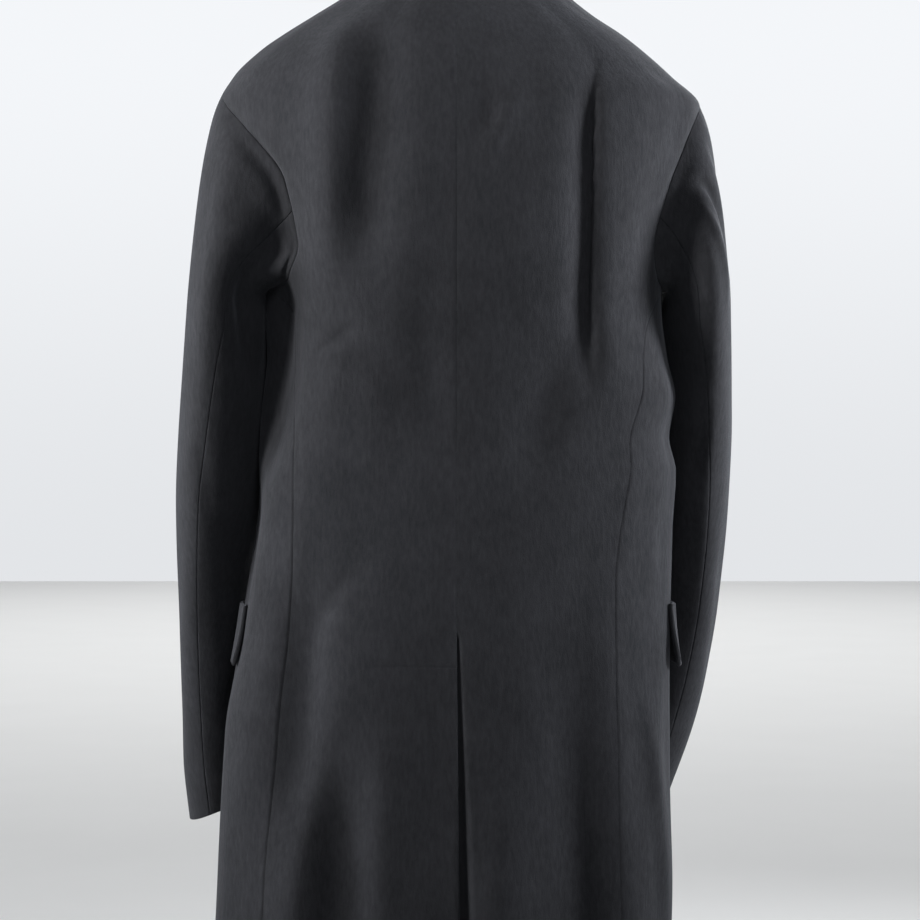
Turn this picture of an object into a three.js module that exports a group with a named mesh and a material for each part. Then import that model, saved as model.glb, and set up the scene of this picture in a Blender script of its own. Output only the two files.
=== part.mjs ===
// A single-breasted, knee-length overcoat in heavy black wool, filled out as worn, with nobody in it.
//
// Frame: +Z up, the front faces -Y, the wearer's left is +X. The origin is the middle of the neck, level
// with the points where the shoulder seams meet the collar. All sizes are in millimetres.
//
// Every cloth piece is a wall of even thickness. Its outer face is a function of two parameters, and the
// body pieces all read the same outer surface, so that they meet edge to edge along the seams.

import * as THREE from "three";

// ---- Driving sizes ----------------------------------------------------------------------------------

const CLOTH = 3; // melton with its canvas
const COLLAR_CLOTH = 2.6;
const FLAP_CLOTH = 4; // two layers and a seam allowance
const SEAM_GAP = 0.3; // between neighbouring pieces
const LAYER_GAP = 1.2; // between the two fronts where they lap, and under the lapels
const SEAT_GAP = 0.5; // under a piece that lies on another

const HEM_Z = -1010;
const ARMPIT_Z = -285;
const SHOULDER_TIP_Z = { left: -108, right: -119 };
const NECK_DIP = 20; // how far the neck seam drops from the shoulder seam to the centre back
const NECK_BLEND_Z = -95; // the dip fades out down to here
const VENT_TOP_Z = -584;
const BREAK_Z = -335; // where the lapels start to turn back
const GORGE_Z = -50; // where the lapels meet the collar, on the roll line
const FRONT_OVERLAP = 24; // each front runs this far past the centre line
const NECK_ROLL_X = 71; // half the neck opening where the roll line reaches the shoulder seam

const BUTTON = { radius: 15, thickness: 4.4, stand: 0.4, heights: [-362, -482, -602] };

const DEG = Math.PI / 180;

// ---- Tables -----------------------------------------------------------------------------------------

// Rings of the body. left and right are half widths, back and front the depths on the centre line, mid
// the depth of the widest point, boxyBack and boxyFront how square each half is (2 is an ellipse).
const BODY_RINGS = [
  { z: 0, left: 78, right: 78, back: 52, front: 60, mid: 0, boxyBack: 2.0, boxyFront: 2.0 },
  { z: -22, left: 103, right: 103, back: 62, front: 72, mid: 0, boxyBack: 2.0, boxyFront: 2.0 },
  { z: -40, left: 131, right: 128, back: 76, front: 82, mid: 0, boxyBack: 2.0, boxyFront: 2.0 },
  { z: -58, left: 160, right: 158, back: 87, front: 90, mid: 0, boxyBack: 2.0, boxyFront: 2.0 },
  { z: -72, left: 180, right: 175, back: 94, front: 96, mid: 0, boxyBack: 2.0, boxyFront: 2.0 },
  { z: -95, left: 203, right: 200, back: 103, front: 105, mid: 0, boxyBack: 2.0, boxyFront: 2.0 },
  { z: -120, left: 215, right: 218, back: 109, front: 113, mid: 0, boxyBack: 2.05, boxyFront: 2.05 },
  { z: -160, left: 201, right: 209, back: 116, front: 122, mid: 0, boxyBack: 2.12, boxyFront: 2.1 },
  { z: -200, left: 185, right: 199, back: 119, front: 129, mid: 1, boxyBack: 2.2, boxyFront: 2.1 },
  { z: -250, left: 171, right: 186, back: 118, front: 133, mid: 4, boxyBack: 2.25, boxyFront: 2.1 },
  { z: -300, left: 167, right: 183, back: 112, front: 133, mid: 8, boxyBack: 2.25, boxyFront: 2.1 },
  { z: -345, left: 169, right: 188, back: 106, front: 131, mid: 11, boxyBack: 2.25, boxyFront: 2.1 },
  { z: -380, left: 173, right: 195, back: 103, front: 130, mid: 14, boxyBack: 2.25, boxyFront: 2.1 },
  { z: -417, left: 177, right: 189.5, back: 102, front: 130, mid: 15, boxyBack: 2.25, boxyFront: 2.1 },
  { z: -446, left: 181, right: 195, back: 103, front: 130, mid: 15, boxyBack: 2.25, boxyFront: 2.1 },
  { z: -500, left: 187, right: 191, back: 107, front: 132, mid: 15, boxyBack: 2.25, boxyFront: 2.1 },
  { z: -580, left: 199, right: 189, back: 117, front: 136, mid: 13, boxyBack: 2.25, boxyFront: 2.1 },
  { z: -660, left: 208, right: 189, back: 124, front: 139, mid: 12, boxyBack: 2.25, boxyFront: 2.15 },
  { z: -760, left: 213, right: 190, back: 129, front: 143, mid: 10, boxyBack: 2.25, boxyFront: 2.2 },
  { z: -880, left: 217, right: 192, back: 133, front: 147, mid: 8, boxyBack: 2.25, boxyFront: 2.2 },
  { z: -1010, left: 221, right: 196, back: 137, front: 151, mid: 6, boxyBack: 2.25, boxyFront: 2.2 },
];

// The edges of the armholes, in degrees round from the centre back. along runs round half an armhole, from
// the shoulder tip (0) to the underarm (1); the height follows half a cosine.
const ARMHOLE = [
  { along: 0, leftBack: 90, rightBack: 90, front: 90 },
  { along: 0.15, leftBack: 74, rightBack: 80, front: 101 },
  { along: 0.3, leftBack: 62, rightBack: 73, front: 111 },
  { along: 0.5, leftBack: 54, rightBack: 66.5, front: 118 },
  { along: 0.7, leftBack: 54, rightBack: 65, front: 121 },
  { along: 0.85, leftBack: 62, rightBack: 68, front: 111 },
  { along: 1, leftBack: 80, rightBack: 80, front: 80 },
];

// The side-back seam below the armhole, in degrees from the centre back.
const SIDE_SEAM = [
  { z: ARMPIT_Z, left: 80, right: 80 },
  { z: -300, left: 69, right: 67 },
  { z: -325, left: 61, right: 58.5 },
  { z: -360, left: 56, right: 54 },
  { z: -430, left: 50, right: 48.5 },
  { z: -475, left: 47.5, right: 46 },
  { z: -545, left: 45.5, right: 43.5 },
  { z: -760, left: 47, right: 45 },
  { z: HEM_Z, left: 50, right: 47 },
];

// Soft folds of the body: each runs through three points (x, z) on the back (face 1) or the front (face
// -1). wide is the half width of the fold, high its height, below zero for a trough.
const BODY_FOLDS = [
  { face: 1, x0: 118, z0: -40, x1: 128, z1: -140, x2: 138, z2: -290, wide: 13, high: 7 },
  { face: 1, x0: 72, z0: -70, x1: 90, z1: -150, x2: 96, z2: -280, wide: 17, high: -9 },
  { face: 1, x0: -112, z0: -70, x1: -114, z1: -230, x2: -112, z2: -386, wide: 12, high: -9 },
  { face: 1, x0: -136, z0: -110, x1: -136, z1: -230, x2: -134, z2: -370, wide: 14, high: 4 },
  { face: 1, x0: -94, z0: -310, x1: -80, z1: -390, x2: -62, z2: -480, wide: 18, high: -5 },
  { face: 1, x0: 112, z0: -500, x1: 134, z1: -600, x2: 172, z2: -780, wide: 15, high: -7 },
  { face: 1, x0: 92, z0: -520, x1: 108, z1: -740, x2: 108, z2: -1060, wide: 17, high: -9 },
  { face: 1, x0: -86, z0: -520, x1: -82, z1: -740, x2: -76, z2: -1060, wide: 26, high: -12 },
  { face: 1, x0: -160, z0: -610, x1: -175, z1: -740, x2: -187, z2: -900, wide: 7, high: 5 },
  { face: -1, x0: 96, z0: -300, x1: 104, z1: -420, x2: 96, z2: -540, wide: 16, high: -6 },
  { face: -1, x0: -100, z0: -280, x1: -108, z1: -400, x2: -98, z2: -520, wide: 16, high: -6 },
  { face: -1, x0: 104, z0: -650, x1: 110, z1: -840, x2: 112, z2: -1060, wide: 22, high: -10 },
  { face: -1, x0: -96, z0: -660, x1: -100, z1: -840, x2: -108, z2: -1060, wide: 20, high: -9 },
];

// Sections of the sleeves. out is the outermost point from the centre line, y the middle of the section,
// a and b its half sizes across and front to back, tilt how far its front end is turned in, in degrees,
// drop how far the outer edge lies below the middle.
const SLEEVE_RINGS = {
  left: [
    { z: -302, out: 239.7, y: 4, a: 27, b: 75, tilt: 20, drop: 0 },
    { z: -356, out: 244.5, y: -4, a: 29, b: 74, tilt: 21, drop: 0 },
    { z: -413, out: 249.8, y: -12, a: 32, b: 71, tilt: 22, drop: 0 },
    { z: -473, out: 255, y: -27, a: 34, b: 67, tilt: 20, drop: 0 },
    { z: -530, out: 257.6, y: -50, a: 32, b: 63, tilt: 20, drop: 0 },
    { z: -605, out: 259.5, y: -78, a: 31, b: 59, tilt: 20, drop: 1 },
    { z: -655, out: 259, y: -90, a: 32, b: 57, tilt: 18, drop: 4 },
    { z: -710, out: 257.5, y: -101, a: 33, b: 55, tilt: 16, drop: 9 },
    { z: -762, out: 253, y: -111, a: 34, b: 54, tilt: 14, drop: 14 },
  ],
  right: [
    { z: -302, out: 243.7, y: -9, a: 27, b: 74, tilt: 12, drop: 0 },
    { z: -371, out: 248.2, y: -34, a: 26, b: 72, tilt: 17, drop: 0 },
    { z: -421, out: 250, y: -44, a: 27, b: 70, tilt: 20, drop: 0 },
    { z: -487, out: 249.1, y: -56, a: 29, b: 66, tilt: 20, drop: 0 },
    { z: -566, out: 244.3, y: -76, a: 30, b: 61, tilt: 21, drop: 0 },
    { z: -631, out: 236.2, y: -96, a: 31, b: 57, tilt: 22, drop: -2 },
    { z: -690, out: 224.6, y: -114, a: 32, b: 54, tilt: 23, drop: -6 },
    { z: -762, out: 203.7, y: -134, a: 32, b: 51, tilt: 24, drop: -10 },
  ],
};
const CAP_SHARE = 0.27; // the share of a sleeve's length above its first section

// How the sleeve leaves the armhole: turn is degrees from the outer edge towards the back; out, back and
// down the direction it starts in, reach how far it holds that, rise how far up it holds the tube's.
const CAP = [
  { turn: -180, out: 0.95, back: 0, down: -0.2, reach: 9, rise: 9 },
  { turn: -135, out: 0.9, back: 0.1, down: 0.35, reach: 18, rise: 26 },
  { turn: -90, out: 0.85, back: 0, down: 0.5, reach: 30, rise: 52 },
  { turn: -45, out: 0.62, back: -0.15, down: 0.76, reach: 34, rise: 66 },
  { turn: 0, out: 0.42, back: 0, down: 0.91, reach: 38, rise: 80 },
  { turn: 45, out: 0.62, back: 0.15, down: 0.76, reach: 34, rise: 66 },
  { turn: 90, out: 0.85, back: 0, down: 0.5, reach: 30, rise: 52 },
  { turn: 135, out: 0.9, back: -0.1, down: 0.35, reach: 18, rise: 26 },
  { turn: 180, out: 0.95, back: 0, down: -0.2, reach: 9, rise: 9 },
];

// Folds of the sleeves, as for the body: turn as above, down the share of the length from the armhole.
const SLEEVE_FOLDS = {
  left: [
    { turn0: 112, down0: 0.02, turn1: 128, down1: 0.16, turn2: 138, down2: 0.4, wide: 13, high: -7 },
    { turn0: -70, down0: 0.36, turn1: -96, down1: 0.46, turn2: -120, down2: 0.54, wide: 11, high: -4 },
  ],
  right: [
    { turn0: 78, down0: 0.03, turn1: 44, down1: 0.12, turn2: 36, down2: 0.24, wide: 7, high: -5 },
    { turn0: 84, down0: 0.06, turn1: 64, down1: 0.16, turn2: 58, down2: 0.3, wide: 7, high: 3 },
    { turn0: -70, down0: 0.36, turn1: -96, down1: 0.46, turn2: -120, down2: 0.54, wide: 11, high: -4 },
  ],
};
const SLEEVE_LENGTH = 640;

// The two seams of each sleeve, in degrees from the outer edge towards the back.
const SLEEVE_SEAMS = [
  { down: 0, hind: 112, fore: -120 },
  { down: 0.12, hind: 130, fore: -122 },
  { down: 0.27, hind: 143, fore: -124 },
  { down: 0.355, hind: 130, fore: -125 },
  { down: 0.445, hind: 117, fore: -127 },
  { down: 0.54, hind: 106, fore: -129 },
  { down: 1, hind: 92, fore: -132 },
];

// The collar, from the centre back (along 0) to its front ends (along 1). stand is the height of the fold
// over the neck seam, lean how far the fold leans back over the body, turn and z the place of its outer
// edge on the body.
const COLLAR = [
  { along: 0, stand: 34, lean: 1, turn: 0, z: -36 },
  { along: 0.25, stand: 33, lean: 1, turn: 34, z: -33 },
  { along: 0.5, stand: 30, lean: 2, turn: 67, z: -22 },
  { along: 0.65, stand: 24, lean: 2, turn: 92, z: -18 },
  { along: 0.82, stand: 14, lean: 2, turn: 119, z: -38 },
  { along: 1, stand: 7, lean: 1, turn: 137, z: -61 },
];
const COLLAR_SIDE = 0.66; // the share of the collar's half length that follows the top of the coat

// The lapels, from the break (up 0) to the gorge (up 1): x and z of the outer edge.
const LAPEL_EDGE = [
  { up: 0, x: -FRONT_OVERLAP, z: BREAK_Z },
  { up: 0.15, x: 6, z: -308 },
  { up: 0.4, x: 54, z: -246 },
  { up: 0.7, x: 99, z: -166 },
  { up: 1, x: 126, z: -92 },
];
const NOTCH = { at: 0.48, rise: 13 }; // where the lapel leaves the collar, and how far over a straight line

// The pocket flaps: rear and front in degrees from the centre back, lift how far the lower rear corner
// and the lower front corner stand off the body.
const FLAPS = {
  left: { rear: 85, front: 135, top: -565, height: 54, rearLift: 1.5, frontLift: 0.5 },
  right: { rear: 75, front: 126, top: -563, height: 55, rearLift: 8, frontLift: 2 },
};

// The vent: wide and deep the trough of the right back beside the edge of the left back, at the top and
// at the hem, under how far it runs on beneath, drift how far the edge leans at the hem.
const VENT = { wideTop: 9, wideHem: 17, deepTop: 4.4, deepHem: 13, under: 36, drift: 3.5 };

// ---- Helpers ----------------------------------------------------------------------------------------

const vec = (x, y, z) => new THREE.Vector3(x, y, z);
const mix = (a, b, t) => a + (b - a) * t;
const clamp01 = (t) => Math.min(1, Math.max(0, t));
const share = (from, to, t) => clamp01((t - from) / (to - from));
const soft = (from, to, t) => share(from, to, t) ** 2 * (3 - 2 * share(from, to, t));
const spread = (from, to, steps) => Array.from({ length: steps + 1 }, (_, i) => mix(from, to, i / steps));

// Reads a table at any value of one column: a smooth curve through the rows that never overshoots them.
function reader(table, by) {
  const rows = [...table].sort((p, q) => p[by] - q[by]);
  const at = rows.map((row) => row[by]);
  const last = at.length - 1;
  const slopes = {};
  for (const name of Object.keys(rows[0])) {
    const rise = at.slice(1).map((t, i) => (rows[i + 1][name] - rows[i][name]) / (t - at[i]));
    slopes[name] = at.map((_, i) => {
      if (i === 0 || i === last) return rise[i === 0 ? 0 : last - 1];
      const product = rise[i - 1] * rise[i];
      return product <= 0 ? 0 : (2 * product) / (rise[i - 1] + rise[i]);
    });
  }
  return (value) => {
    const t = Math.min(at[last], Math.max(at[0], value));
    let i = 0;
    while (i < last - 1 && t > at[i + 1]) i += 1;
    const step = at[i + 1] - at[i];
    const u = (t - at[i]) / step;
    const v = 1 - u;
    const read = {};
    for (const name of Object.keys(slopes))
      read[name] =
        rows[i][name] * (1 + 2 * u) * v * v +
        rows[i + 1][name] * (1 + 2 * v) * u * u +
        (slopes[name][i] * v - slopes[name][i + 1] * u) * step * u * v;
    return read;
  };
}

// How far a fold lifts the point (p, q): a soft bump across a path through three points, fading out at
// both ends.
function foldLift(p, q, path, wide, high) {
  let nearest = Infinity;
  let along = 0;
  for (let i = 0; i < 2; i += 1) {
    const [[ax, ay], [bx, by]] = [path[i], path[i + 1]];
    const t = clamp01(((p - ax) * (bx - ax) + (q - ay) * (by - ay)) / ((bx - ax) ** 2 + (by - ay) ** 2));
    const gap = Math.hypot(p - mix(ax, bx, t), q - mix(ay, by, t));
    if (gap < nearest) [nearest, along] = [gap, (i + t) / 2];
  }
  if (nearest > 3 * wide) return 0;
  return high * Math.exp(-((nearest / wide) ** 2)) * Math.max(0, Math.sin(Math.PI * along)) ** 0.7;
}

// The unit normal of a surface at (u, v), by small steps of du and dv, to the side of du x dv.
function normalOf(surface, u, v, du, dv) {
  const across = surface(u + du, v).sub(surface(u - du, v));
  const down = surface(u, v + dv).sub(surface(u, v - dv));
  return across.cross(down).normalize();
}

// A point of a cubic curve with two ends and two handles.
function curvePoint(from, handle1, handle2, to, t) {
  const s = 1 - t;
  return vec(0, 0, 0)
    .addScaledVector(from, s * s * s)
    .addScaledVector(handle1, 3 * s * s * t)
    .addScaledVector(handle2, 3 * s * t * t)
    .addScaledVector(to, t * t * t);
}

// A closed wall between two grids of points: two faces and a rim all round. It is wound so that each face
// looks away from the other one.
function wall(name, material, face, back) {
  const [i0, j0] = [face.length >> 1, face[0].length >> 1];
  const [a, b, c] = [face[i0][j0], face[i0][j0 + 1], face[i0 + 1][j0]];
  const flip = b.clone().sub(a).cross(c.clone().sub(a)).dot(a.clone().sub(back[i0][j0])) < 0;
  const turned = (grid) => (flip ? grid.map((row) => [...row].reverse()) : grid);
  const [outer, inner] = [turned(face), turned(back)];
  const rows = outer.length;
  const columns = outer[0].length;
  const half = rows * columns;
  const index = [];
  const quad = (i, j, k, l) => index.push(i, j, k, i, k, l);
  const at = (i, j) => i * columns + j;
  for (let i = 0; i < rows - 1; i += 1)
    for (let j = 0; j < columns - 1; j += 1) {
      const corners = [at(i, j), at(i, j + 1), at(i + 1, j + 1), at(i + 1, j)];
      quad(...corners);
      quad(...corners.map((corner) => half + corner).reverse());
    }
  const rim = (from, to) => quad(to, from, half + from, half + to);
  for (let j = 0; j < columns - 1; j += 1) {
    rim(at(0, j), at(0, j + 1));
    rim(at(rows - 1, j + 1), at(rows - 1, j));
  }
  // Both side rims are split the same way, so that the rims of two neighbours lie alike along a seam.
  for (let i = 0; i < rows - 1; i += 1) {
    quad(at(i + 1, 0), half + at(i + 1, 0), half + at(i, 0), at(i, 0));
    rim(at(i, columns - 1), at(i + 1, columns - 1));
  }
  const geometry = new THREE.BufferGeometry().setFromPoints([...outer.flat(), ...inner.flat()]);
  geometry.setIndex(index);
  geometry.computeVertexNormals();
  const mesh = new THREE.Mesh(geometry, material);
  mesh.name = name;
  return mesh;
}

// A wall whose outer face is a grid, with its thickness on the side away from the normals.
function panel(name, material, grid, normals, thickness) {
  const sunk = (point, i, j) => point.clone().addScaledVector(normals[i][j], -thickness);
  const inner = grid.map((row, i) => row.map((point, j) => sunk(point, i, j)));
  return wall(name, material, grid, inner);
}

// ---- Materials --------------------------------------------------------------------------------------

const wool = new THREE.MeshStandardMaterial({ color: 0x1d1e21, roughness: 0.95, metalness: 0 });
const collarWool = new THREE.MeshStandardMaterial({ color: 0x1b1c1f, roughness: 0.95, metalness: 0 });
const horn = new THREE.MeshStandardMaterial({ color: 0x121113, roughness: 0.4, metalness: 0 });

// ---- The body surface -------------------------------------------------------------------------------

const bodyRing = reader(BODY_RINGS, "z");
const armholeRow = reader(ARMHOLE, "along");
const sideSeam = reader(SIDE_SEAM, "z");
const TURN_STEP = 0.01;
const Z_STEP = 1;

// The smooth body, before its folds. turn is the angle round from the centre back, in radians, towards
// the wearer's left. Each quarter of a ring is a superellipse.
function ringPoint(turn, z) {
  const ring = bodyRing(z);
  const [s, c] = [Math.sin(turn), Math.cos(turn)];
  const n = c >= 0 ? ring.boxyBack : ring.boxyFront;
  const round = (Math.abs(s) ** n + Math.abs(c) ** n) ** (-1 / n);
  const width = s >= 0 ? ring.left : ring.right;
  const depth = c >= 0 ? ring.back - ring.mid : ring.front + ring.mid;
  return vec(width * round * s, ring.mid + depth * round * c, z);
}

// The body's outer face, with its folds. lift raises a layer that lies on it, or sinks one beneath.
function bodyPoint(turn, z, lift = 0) {
  const point = ringPoint(turn, z);
  const face = Math.cos(turn) >= 0 ? 1 : -1;
  const facing = soft(0, 0.3, Math.abs(Math.cos(turn)));
  let height = lift;
  for (const fold of BODY_FOLDS)
    if (fold.face === face) {
      const path = [[fold.x0, fold.z0], [fold.x1, fold.z1], [fold.x2, fold.z2]];
      height += facing * foldLift(point.x, z, path, fold.wide, fold.high);
    }
  return point.addScaledVector(normalOf(ringPoint, turn, z, TURN_STEP, -Z_STEP), height);
}

const bodyNormal = (turn, z) => normalOf(bodyPoint, turn, z, TURN_STEP, -Z_STEP);

// The turn, between 0 and a quarter, at which a ring has this x.
function turnAt(x, z, boxy) {
  const ring = bodyRing(z);
  const part = Math.min(0.999, Math.abs(x) / (x >= 0 ? ring.left : ring.right)) ** ring[boxy];
  return Math.sign(x) * Math.atan((part / (1 - part)) ** (1 / ring[boxy]));
}
const backTurn = (x, z) => turnAt(x, z, "boxyBack");
const frontTurn = (x, z) => Math.PI - turnAt(x, z, "boxyFront");

// ---- Rows and edges of the body pieces --------------------------------------------------------------

const SIDES = [
  { name: "left", sign: 1, backEdge: "leftBack" },
  { name: "right", sign: -1, backEdge: "rightBack" },
];
const ARMHOLE_STEPS = 11;

// The heights round half an armhole, from the shoulder tip to the underarm.
function armholeHeight(side, along) {
  return mix(SHOULDER_TIP_Z[side.name], ARMPIT_Z, (1 - Math.cos(Math.PI * along)) / 2);
}

// The heights of the rows of a body piece. They are the same for the back and the front of a side.
function bodyRows(side) {
  return [
    ...spread(HEM_Z, VENT_TOP_Z - 32, 8),
    VENT_TOP_Z - 6,
    ...spread(VENT_TOP_Z, BREAK_Z, 7),
    ...spread(BREAK_Z, ARMPIT_Z, 3).slice(1, -1),
    ...spread(1, 0, ARMHOLE_STEPS).map((along) => armholeHeight(side, along)),
    ...spread(SHOULDER_TIP_Z[side.name], 0, 7).slice(1),
  ];
}

// Rows above the blend follow the neck seam, which dips towards the centre back.
function bent(z, turn) {
  const dip = NECK_DIP * Math.max(0, Math.cos(turn)) ** 1.5;
  return z - dip * share(NECK_BLEND_Z, 0, z);
}

// The turn of the edge between a side's back and front pieces: which is the side's back edge or front.
function sideEdge(side, z, which) {
  const tip = SHOULDER_TIP_Z[side.name];
  if (z >= tip) return 90 * DEG;
  if (z <= ARMPIT_Z) return sideSeam(z)[side.name] * DEG;
  const along = Math.acos(1 - 2 * share(tip, ARMPIT_Z, z)) / Math.PI;
  return armholeRow(along)[which] * DEG;
}

const halfSeam = SEAM_GAP / 2 / 105; // half a gap as an angle, where the seams run

// A body piece from its rows of turns. lift gives the height of the piece over the body's face.
function bodyPiece(name, side, turnsAt, lift) {
  const grid = [];
  const normals = [];
  for (const z of bodyRows(side)) {
    const places = turnsAt(z).map((turn) => [side.sign * turn, bent(z, turn)]);
    grid.push(places.map(([turn, height]) => bodyPoint(turn, height, lift(turn, height))));
    normals.push(places.map(([turn, height]) => bodyNormal(turn, height)));
  }
  return panel(name, wool, grid, normals, CLOTH);
}

// ---- Backs ------------------------------------------------------------------------------------------

// The columns of a back or a front change their spacing here.
const BACK_BEND = 44 * DEG;
const FRONT_BEND = 128 * DEG;

const ventDown = (z) => share(VENT_TOP_Z, HEM_Z, z);
const ventEdge = (z) => -VENT.drift * ventDown(z); // x of the edge of the left back
const ventWide = (z) => mix(VENT.wideTop, VENT.wideHem, ventDown(z));

// How far the right back is sunk beside and beneath the edge of the left back.
function ventLift(turn, z) {
  if (z > VENT_TOP_Z || Math.cos(turn) < 0) return 0;
  const deep = mix(VENT.deepTop, VENT.deepHem, ventDown(z)) * share(VENT_TOP_Z, VENT_TOP_Z - 6, z);
  return -deep * soft(-ventWide(z) - 1, -1, ringPoint(turn, z).x - ventEdge(z));
}

// The columns keep to the same turns over most of the back, and close up towards its edge.
function backTurns(side, z) {
  const end = sideEdge(side, z, side.backEdge) - halfSeam;
  const bend = Math.min(BACK_BEND, end - 3 * DEG);
  const toEdge = spread(bend, end, 4).slice(1);
  if (side.sign > 0) {
    const start = backTurn(SEAM_GAP / 2 + (z > VENT_TOP_Z ? 0 : ventEdge(z)), z);
    return [...spread(start, bend, 12), ...toEdge];
  }
  const open = share(VENT_TOP_Z - 6, VENT_TOP_Z - 32, z);
  const wide = z > VENT_TOP_Z ? VENT.wideTop : ventWide(z);
  const shift = z > VENT_TOP_Z ? 0 : ventEdge(z);
  const inner = [-VENT.under * open, -(VENT.under / 2) * open + 1 * (1 - open), 2, 0.5 * wide + 1, wide + 1];
  const first = inner.map((out, i) => {
    const x = out - shift;
    return -backTurn(-(i === 0 && open === 0 ? SEAM_GAP / 2 : x), z);
  });
  return [...first, ...spread(first[4], bend, 10).slice(1), ...toEdge];
}

const backPiece = (side) =>
  bodyPiece(`back_${side.name}`, side, (z) => backTurns(side, z), side.sign < 0 ? ventLift : () => 0);

// ---- Fronts -----------------------------------------------------------------------------------------

// x of the leading edge of the left front, which lies over the right one: straight up to the break, then
// along the roll line to the neck.
const leadingX = (z) => mix(-FRONT_OVERLAP, NECK_ROLL_X, share(BREAK_Z, 0, z));

// The turn of a place on the front, counted round from the back on the piece's own side.
function ownTurn(side, x, z) {
  return side.sign > 0 ? frontTurn(x, z) : 2 * Math.PI - frontTurn(x, z);
}

// How far the right front is sunk where the left front covers it.
function frontLift(turn, z) {
  if (Math.cos(turn) > 0) return 0;
  return -(CLOTH + LAYER_GAP) * soft(-12, -3, ringPoint(turn, z).x - leadingX(z));
}

function frontTurns(side, z) {
  const start = sideEdge(side, z, "front") + halfSeam;
  const end = ownTurn(side, side.sign * leadingX(z), z);
  const bend = Math.min(FRONT_BEND, mix(start, end, 0.45));
  const toBend = spread(start, bend, 6);
  if (side.sign > 0) return [...toBend, ...spread(bend, end, 8).slice(1)];
  const fold = Math.min(ownTurn(side, leadingX(z) - 12, z), mix(start, end, 0.9));
  const under = Math.min(ownTurn(side, leadingX(z) - 3, z), mix(start, end, 0.94));
  return [...toBend, ...spread(bend, fold, 6).slice(1), under, ...spread(under, end, 2).slice(1)];
}

const frontPiece = (side) =>
  bodyPiece(`front_${side.name}`, side, (z) => frontTurns(side, z), side.sign < 0 ? frontLift : () => 0);

// ---- Sleeves ----------------------------------------------------------------------------------------

const capRow = reader(CAP, "turn");
const seamRow = reader(SLEEVE_SEAMS, "down");

// The armhole as a ring of points with the body's normal, the direction across the edge into the hole,
// and the turn round the sleeve, by arc length down each half.
function armholeRing(side) {
  const edge = (which) =>
    spread(0, 1, ARMHOLE_STEPS).map((along) => {
      const z = armholeHeight(side, along);
      const turn = side.sign * sideEdge(side, z, which);
      return { point: bodyPoint(turn, bent(z, turn)), normal: bodyNormal(turn, bent(z, turn)) };
    });
  const [back, front] = [edge(side.backEdge), edge("front")];
  for (const [half, sign] of [[back, 1], [front, -1]]) {
    const arcs = [0];
    for (let i = 1; i < half.length; i += 1) arcs.push(arcs[i - 1] + half[i].point.distanceTo(half[i - 1].point));
    half.forEach((spot, i) => {
      spot.turn = (sign * 180 * arcs[i]) / arcs[half.length - 1];
    });
  }
  const ring = [...[...front].reverse(), ...back.slice(1)];
  const middle = ring.reduce((sum, spot) => sum.add(spot.point), vec(0, 0, 0)).divideScalar(ring.length);
  ring.forEach((spot, i) => {
    const before = ring[i === 0 ? ring.length - 2 : i - 1].point;
    const after = ring[i === ring.length - 1 ? 1 : i + 1].point;
    spot.across = spot.normal.clone().cross(after.clone().sub(before)).normalize();
    if (spot.across.dot(middle.clone().sub(spot.point)) < 0) spot.across.negate();
  });
  return ring;
}

// A sleeve's tube at a height: an ellipse with its front end turned in.
function tubePoint(side, ringAt, turn, z) {
  const ring = ringAt(z);
  const tilt = ring.tilt * DEG;
  const half = Math.hypot(ring.a * Math.cos(tilt), ring.b * Math.sin(tilt));
  const [p, q] = [ring.a * Math.cos(turn * DEG), ring.b * Math.sin(turn * DEG)];
  const across = p * Math.cos(tilt) + q * Math.sin(tilt);
  const back = q * Math.cos(tilt) - p * Math.sin(tilt);
  return vec(side.sign * (ring.out - half + across), ring.y + back, z - (ring.drop * across) / half);
}

// Everything about one sleeve: its surface at (turn in degrees, down from 0 to 1).
function sleeve(side) {
  const rings = SLEEVE_RINGS[side.name];
  const ringAt = reader(rings, "z");
  const [topZ, cuffZ] = [rings[0].z, rings[rings.length - 1].z];
  const hole = armholeRing(side);
  const spotAt = (turn) => {
    let i = 0;
    while (i < hole.length - 2 && turn > hole[i + 1].turn) i += 1;
    const t = (turn - hole[i].turn) / (hole[i + 1].turn - hole[i].turn);
    const blend = (key) => hole[i][key].clone().lerp(hole[i + 1][key], t);
    const across = blend("across").normalize();
    return { point: blend("point").addScaledVector(across, SEAM_GAP), normal: blend("normal").normalize() };
  };
  const wrapped = (turn) => (((turn % 360) + 540) % 360) - 180;
  const smooth = (angle, down) => {
    const turn = wrapped(angle);
    if (down >= CAP_SHARE) return tubePoint(side, ringAt, turn, mix(topZ, cuffZ, share(CAP_SHARE, 1, down)));
    const cap = capRow(turn);
    const start = spotAt(turn).point;
    const end = tubePoint(side, ringAt, turn, topZ);
    const axis = end.clone().sub(tubePoint(side, ringAt, turn, topZ - 12)).normalize();
    const leave = vec(side.sign * cap.out, cap.back, -cap.down).normalize();
    const handle1 = start.clone().addScaledVector(leave, cap.reach);
    const handle2 = end.clone().addScaledVector(axis, cap.rise);
    return curvePoint(start, handle1, handle2, end, Math.max(0, down) / CAP_SHARE);
  };
  const outward = (surface, turn, down) => {
    return normalOf(surface, turn, Math.max(down, 0.004), 2 * side.sign, -0.004);
  };
  const folded = (turn, down) => {
    let height = 0;
    for (const fold of SLEEVE_FOLDS[side.name]) {
      const path = [0, 1, 2].map((i) => [fold[`turn${i}`], fold[`down${i}`] * SLEEVE_LENGTH]);
      height += foldLift(wrapped(turn), down * SLEEVE_LENGTH, path, fold.wide, fold.high);
    }
    return smooth(turn, down).addScaledVector(outward(smooth, turn, down), height * soft(0, 0.05, down));
  };
  return { hole, spotAt, folded, normal: (turn, down) => outward(folded, turn, down) };
}

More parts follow.
